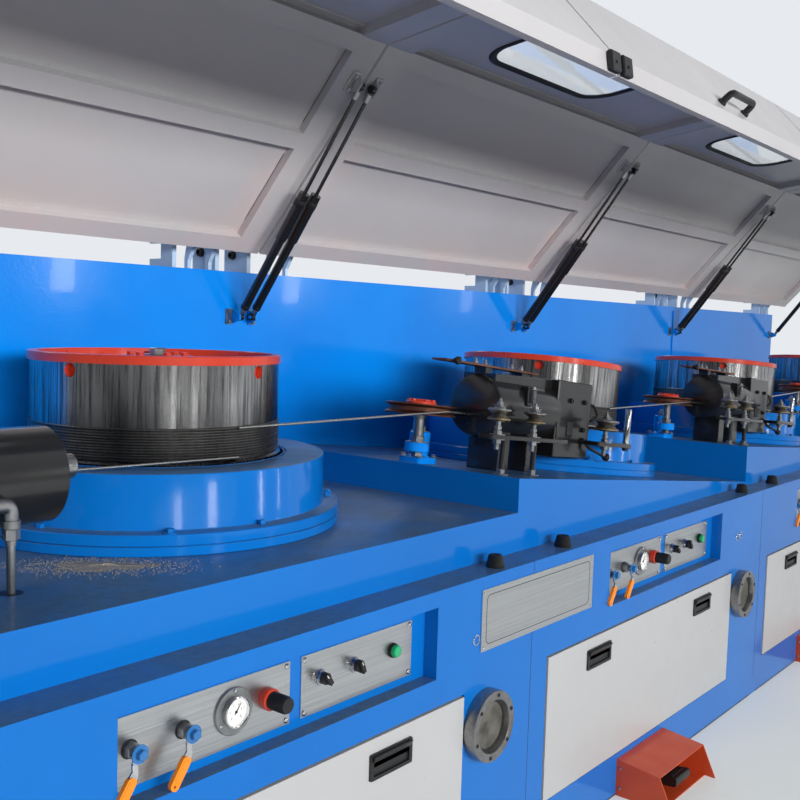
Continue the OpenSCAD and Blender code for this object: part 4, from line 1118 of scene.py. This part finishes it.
def guide_wheels():
    base = Piece("arm_bases", "cabinet", "blue_paint", ["blue_lit_clean", "galvanised"])
    for i in LATER:
        n = i + 1
        at = deck_frame(i, *ARM_PIVOT, 0)
        base.add(prism(rounded(76, 76, 12), 0.3, 16, 1.5), at)
        base.add(lathe([(0, 15), (32, 15), (30, 19), (26, 22), (26, 32), (9, 32), (9, 84), (0, 84)], 64),
            at, 0)
        base.add(stud(26, 12, 16, 10, 2), at @ shift(0, 0, 84), 1)
        for x, y in corners(29, 29):
            base.add(hex_bolt(13, 7, 2), at @ shift(x, y, 16), 1)
        arm = Piece(f"wheel_arm_{n}", f"arm_{n}", "blue_paint", ["blue_lit_clean", "galvanised", "steel"])
        deck = deck_frame(i)
        px, py = ARM_PIVOT
        wx, wy = WHEEL_AT
        arm.add(lathe([(9.3, 33), (26, 33), (28, 35), (28, 81), (26, 83), (9.3, 83)], 64, closed=True),
            deck @ shift(px, py, 0), 0)
        arm.add(lathe([(0, 33), (30, 33), (32, 35), (32, 55), (30, 57), (0, 57)], 64),
            deck @ shift(wx, wy, 0), 0)
        ang = math.degrees(math.atan2(wy - py, wx - px))
        l = math.hypot(wx - px, wy - py)
        arm.add(box((22, -18, 36), (l - 5, 18, 54), 2), deck @ shift(px, py, 0) @ turn(ang, "Z"), 0)
        w = deck @ shift(wx, wy, 0)
        arm.add(hex_bolt(26, 13), w @ shift(0, 0, 33) @ turn(180, "X"), 1)
        arm.add(hex_bolt(32, 15, 2), w @ shift(0, 0, 57), 1)
        arm.add(lathe([(0, 70), (14, 70), (14, 120), (16, 121), (16, 127), (8, 127), (8, 160), (0, 160)],
            40), w, 2)
        arm.done()
        wheel = Piece(f"copper_wheel_{n}", f"wheel_{n}", "wheel_metal", ["copper", "red_paint"])
        c = w @ shift(0, 0, WIRE_H)
        wheel.add(lathe([(8.3, -14), (40, -14), (46, -9), (70, -9), (WHEEL_R - 4, -13.6),
            (WHEEL_R - 1, -14), (WHEEL_R, -13), (WHEEL_R, -11), (WHEEL_R - 10, -5), (WHEEL_R - 10, 5),
            (WHEEL_R, 11), (WHEEL_R, 13), (WHEEL_R - 1, 14), (WHEEL_R - 4, 13.6), (46, 10), (42, 12),
            (8.3, 12)], 128, closed=True), c, 0)
        wheel.add(lathe([(8.3, 12), (38, 12), (40, 14), (40, 19), (38, 21), (24, 21), (22, 23), (22, 25),
            (20, 26), (0, 26)], 64), c, 1)
        wheel.around(hex_bolt(10, 5), c, 31, 21, range(0, 360, 60), 1)
        wheel.done()
        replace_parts(bpy.data.objects[f"wheel_arm_{n}"], f"swing_arm_{n}")
        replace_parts(bpy.data.objects[f"copper_wheel_{n}"], f"guide_wheel_{n}")
    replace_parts(base.done(), "arm_brackets")


# ---- Hoods, struts, hinges and pedals ----
HINGE = Vector((BASE_D - 18, WALL_Z + 87))
EDGE, BEND, FOLD, CREASE, LIP, HIGH_PIVOT = [HINGE + Vector(p)
    for p in ((-40, -18), (-509, 501), (-972, 564), (-1162, 354), (-1168, 313), (-454, 379))]
HOOD_GAP, HOOD_T, RIB_W, RIB_D = 10, 4, 92, 26
WINDOW_U, WINDOW_W, WINDOW_L, WINDOW_R = 612, 620, 300, 90
PULL_U = 722
LOW_PIVOT = Vector((BASE_D - 27, 1268))
STRUT_U, STRUT_L = 22, 420


def block_frame(i):
    return Matrix.Translation((block_x(i), FRONT_Y, 0))


def panel_frame(i, a, b, u, s, off=0.0):
    """Frame on a hood panel from a to b: x along the row, y from a towards b, z outwards from the sheet."""
    d = (b - a).normalized()
    out = Vector((d.y, -d.x))
    at = a + d * s + out * off
    return block_frame(i) @ Matrix(((1, 0, 0, u), (0, d.x, out.x, at.x), (0, d.y, out.y, at.y),
        (0, 0, 0, 1)))


def hood_trim(i):
    n = i + 1
    body = f"hood_leaf_{n}"
    p = Piece(f"hood_welds_and_shade_lines_{n}", body, "white_paint", ["hood_white", "mark_black"])
    slant, front_l = (BEND - EDGE).length, (FOLD - BEND).length
    dot = lathe([(3.2, 0), (2.6, 0.9), (1.2, 1.3), (0, 1.4)], 10)
    down = turn(180, "X")
    for s in (56, 0.5 * slant - 6, 0.5 * slant + 54, slant - 60):
        for k in range(21):
            p.add(dot, panel_frame(i, EDGE, BEND, 120 + 63 * k, s, -HOOD_T) @ down)
    for u in (103, PITCH - 103):
        for k in range(9):
            p.add(dot, panel_frame(i, EDGE, BEND, u, 70 + k * 70, -HOOD_T) @ down)
    # thin black lines on the sheet beside the end members, broken where the middle member crosses: painted
    # shade along the members, which stand proud of the sheet
    for u in (HOOD_GAP / 2 + RIB_W + 0.3, PITCH - HOOD_GAP / 2 - RIB_W - 1.7):
        for a, b in ((96, 0.5 * slant - 30), (0.5 * slant + 70, slant - 60)):
            p.add(box((0, a, 0), (1.4, b, 0.5)), panel_frame(i, EDGE, BEND, u, 0, -HOOD_T - 0.5), 1)
    # turned-in flange along the free edge, and a strip at the bend
    p.add(box((HOOD_GAP / 2, -3, 0), (PITCH - HOOD_GAP / 2, 0, 14), 0.6),
        panel_frame(i, CREASE, LIP, 0, 41.4, -HOOD_T - 14), 0)
    p.add(box((60, 0, 0), (PITCH - 60, 22, 3), 0.8), panel_frame(i, BEND, FOLD, 0, 4, -HOOD_T - 3), 0)
    p.done()
    dress([f"hood_{n}"], "hood_white")
    trim = Piece(f"hood_gasket_{n}", body, "black_plastic", ["rubber", "black_plastic"])
    mid = panel_frame(i, BEND, FOLD, WINDOW_U, 0.505 * front_l)
    profile = [(12, 0.3), (12, 2.5), (9, 5.2), (2, 5.2), (-8, 1.5), (-10, 0.3), (-10, -4.3), (-8, -5.5),
        (2, -9.2), (9, -9.2), (12, -6.5), (12, -4.3), (-0.3, -4.3), (-0.3, 0.3)]
    verts = [(x, y, z) for grow, z in profile for x, y in rounded(WINDOW_W + 2 * grow, WINDOW_L + 2 * grow,
        WINDOW_R + grow, 12)]
    trim.add((verts, bands(len(profile), len(verts) // len(profile), True)), mid, 0)
    # pull handle
    at = panel_frame(i, FOLD, CREASE, PULL_U, 245)
    path = bend([(-81, 0, 0.3), (-79, 0, 37), (79, 0, 37), (81, 0, 0.3)], 24, 8)
    bar = tube(path, 9, 20)
    trim.add(([(x, y * 1.05, z) for x, y, z in bar[0]], bar[1]), at, 1)
    for x in (-81, 81):
        trim.add(lathe([(0, 0.3), (13, 0.3), (13, 5), (10, 8), (0, 8)], 28), at @ shift(x, 0, 0), 1)
    # corner stops at both ends of the lip
    for s in (-1, 1):
        at = panel_frame(i, CREASE, LIP, PITCH / 2 + s * (PITCH / 2 - 27), 20)
        trim.add(box((-21, -24, 0.3), (21, 20, 14.3), 3), at, 1)
        trim.add(lathe([(0, 14), (4, 14), (3.4, 16.4), (0, 17)], 16), at, 1)
    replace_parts(trim.done(), f"hood_fittings_{n}")
    dress([f"window_glass_{n}"], "window_glass")


def strut_fittings(i):
    """Sockets and clips on the strut cylinders, the rod ends, and the plates and bolts that carry them."""
    n = i + 1
    d = HIGH_PIVOT - LOW_PIVOT
    length, ang = d.length, math.degrees(math.atan2(d.y, d.x)) - 90
    low = Piece(f"strut_sockets_{n}", f"struts_{n}", "black_paint", ["galvanised", "black_plastic"])
    high = Piece(f"rod_ends_{n}", f"rods_{n}", "chrome", ["galvanised"])
    ears = Piece(f"strut_ears_{n}", f"hood_leaf_{n}", "white_paint", ["galvanised"])
    wall = Piece(f"strut_feet_{n}", "cabinet", "brushed", ["galvanised"])
    for u in (STRUT_U, PITCH - STRUT_U):
        s = 1 if u < PITCH / 2 else -1
        at = block_frame(i) @ shift(u, *LOW_PIVOT) @ turn(ang, "X")
        low.add(lathe([(6.2, 12), (8.5, 14), (8.5, 26), (7, 29), (6.1, 29)], 24), at)
        low.add(lathe([(12.1, 32), (12.8, 33), (12.8, 40), (12.1, 41)], 32), at, 1)
        band = [(15.1, STRUT_L - 40), (16, STRUT_L - 38), (16, STRUT_L - 22), (15.1, STRUT_L - 20)]
        low.add(lathe(band, 32), at, 1)
        high.add(lathe([(5.1, length - 38), (8, length - 36), (8, length - 14), (6, length - 11),
            (5.1, length - 11)], 24), at)
        for a in (-1, 1):
            wall.add(hex_bolt(10, 6, 1.5), block_frame(i) @ shift(u + s * 24, BASE_D - 4.5,
                LOW_PIVOT[1] + a * 13) @ turn(90, "X"), 0)
        wall.add(box((min(s * 6.3, s * 34), -4.5, -22), (max(s * 6.3, s * 34), -0.2, 22), 1),
            block_frame(i) @ shift(u, BASE_D, LOW_PIVOT[1]), 0)
        foot = panel_frame(i, EDGE, BEND, u, (HIGH_PIVOT - EDGE).dot((BEND - EDGE).normalized()), -RIB_D)
        ears.add(box((min(s * 8, s * 36), -30, -4.5), (max(s * 8, s * 36), 30, -0.4), 1), foot, 0)
        for a in (-1, 1):
            ears.add(hex_bolt(10, 6, 1.5), foot @ shift(s * 25, a * 19, -4.5) @ turn(180, "X"), 0)
    for q in (low, high, ears, wall):
        q.done()
    dress([f"strut_cylinders_{n}", f"strut_rods_{n}"], "black_paint")


def hinge_details():
    """Bolts at the hinge pins and through the end brackets on top of the wall."""
    p = Piece("hinge_hardware", "cabinet", "light_blue_paint", ["black_plastic", "galvanised"])
    for i in BLOCKS:
        for u in (150, PITCH - 150):
            for s in (-1, 1):
                side = block_frame(i) @ shift(u, *HINGE) @ turn(90 * s, "Y")
                p.add(cap_screw(26, 12, 12), side @ shift(0, 0, 42.5))
        for u in (31, 1412):
            hole = block_frame(i) @ shift(u, BASE_D + 62, WALL_Z + 52)
            p.add(cap_screw(24, 14, 12), hole @ shift(-4, 0, 0) @ turn(-90, "Y"))
            p.add(disc(13.6, 0, 8, 32), hole @ shift(-4, 0, 0) @ turn(90, "Y"), 1)
    p.done()
    # The hinge brackets take the pale blue with painted reflection in it.
    dress(["hinge_brackets"], "light_blue_sheen")


GUARD_U, GUARD_W = 466, 290


def pedals():
    g = Piece("pedal_guard_folds", "cabinet", "orange_paint", ["galvanised"])
    for i in BLOCKS:
        n = i + 1
        at = block_frame(i) @ shift(GUARD_U, 0, 0)
        for u in (0, GUARD_W):
            for v, z in ((-12, 22), (-12, 78)):
                g.add(pan_head(8, 2.6), at @ shift(u, v, z) @ turn(-90 if u == 0 else 90, "Y"))
        t = Piece(f"treadle_{n}", f"treadle_{n}", "black_paint", ["black_plastic", "rubber"])
        pt = block_frame(i) @ shift(GUARD_U + GUARD_W / 2, -30, 27)
        outline = [(-5, 8.5), (-5, -8.5), (-92, -1), (-99, 3), (-100, 8), (-100, 19), (-97, 23),
            (-90, 24.5), (-8, 8.8)]
        body = prism(outline, -45, 45)
        t.add(([(z, x, y) for x, y, z in body[0]], body[1]), pt, 0)
        ring = lathe([(4.35, -45), (9, -45), (9, 45), (4.35, 45)], 32, closed=True)
        t.add(ring, pt @ turn(90, "Y"), 0)
        for k in range(7):
            y = -22 - 10 * k
            z = 8.8 + (-8 - y) * (24.5 - 8.8) / 82
            t.add(box((-41, y - 2.4, z - 0.5), (41, y + 2.4, z + 2.2), 0.8), pt, 1)
        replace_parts(t.done(), f"pedal_{n}")
    g.done()
    dress(["pedal_guards"], "guard_orange")


# ---- The whole machine ----
make_camera()
make_light()
make_floor()
make_materials()
# The cabinets take the darker copy of the enamel, painted shade; the wall and the strut brackets take the
# lit copy.
dress([f"block_frame_{i + 1}" for i in BLOCKS], "blue")
dress(["back_wall", "strut_brackets"], "blue_lit_clean")
dress(["access_doors"], "door_white")
dress(["drawn_wire"], "bright_wire")
for i in BLOCKS:
    drum(i)
    hood_trim(i)
    strut_fittings(i)
ring_housings()
gauges()
ball_valves()
switches()
plates()
sight_ports()
door_handles()
bumpers()
seams()
die_boxes()
powder_patch()
rollers()
guide_wheels()
hinge_details()
pedals()
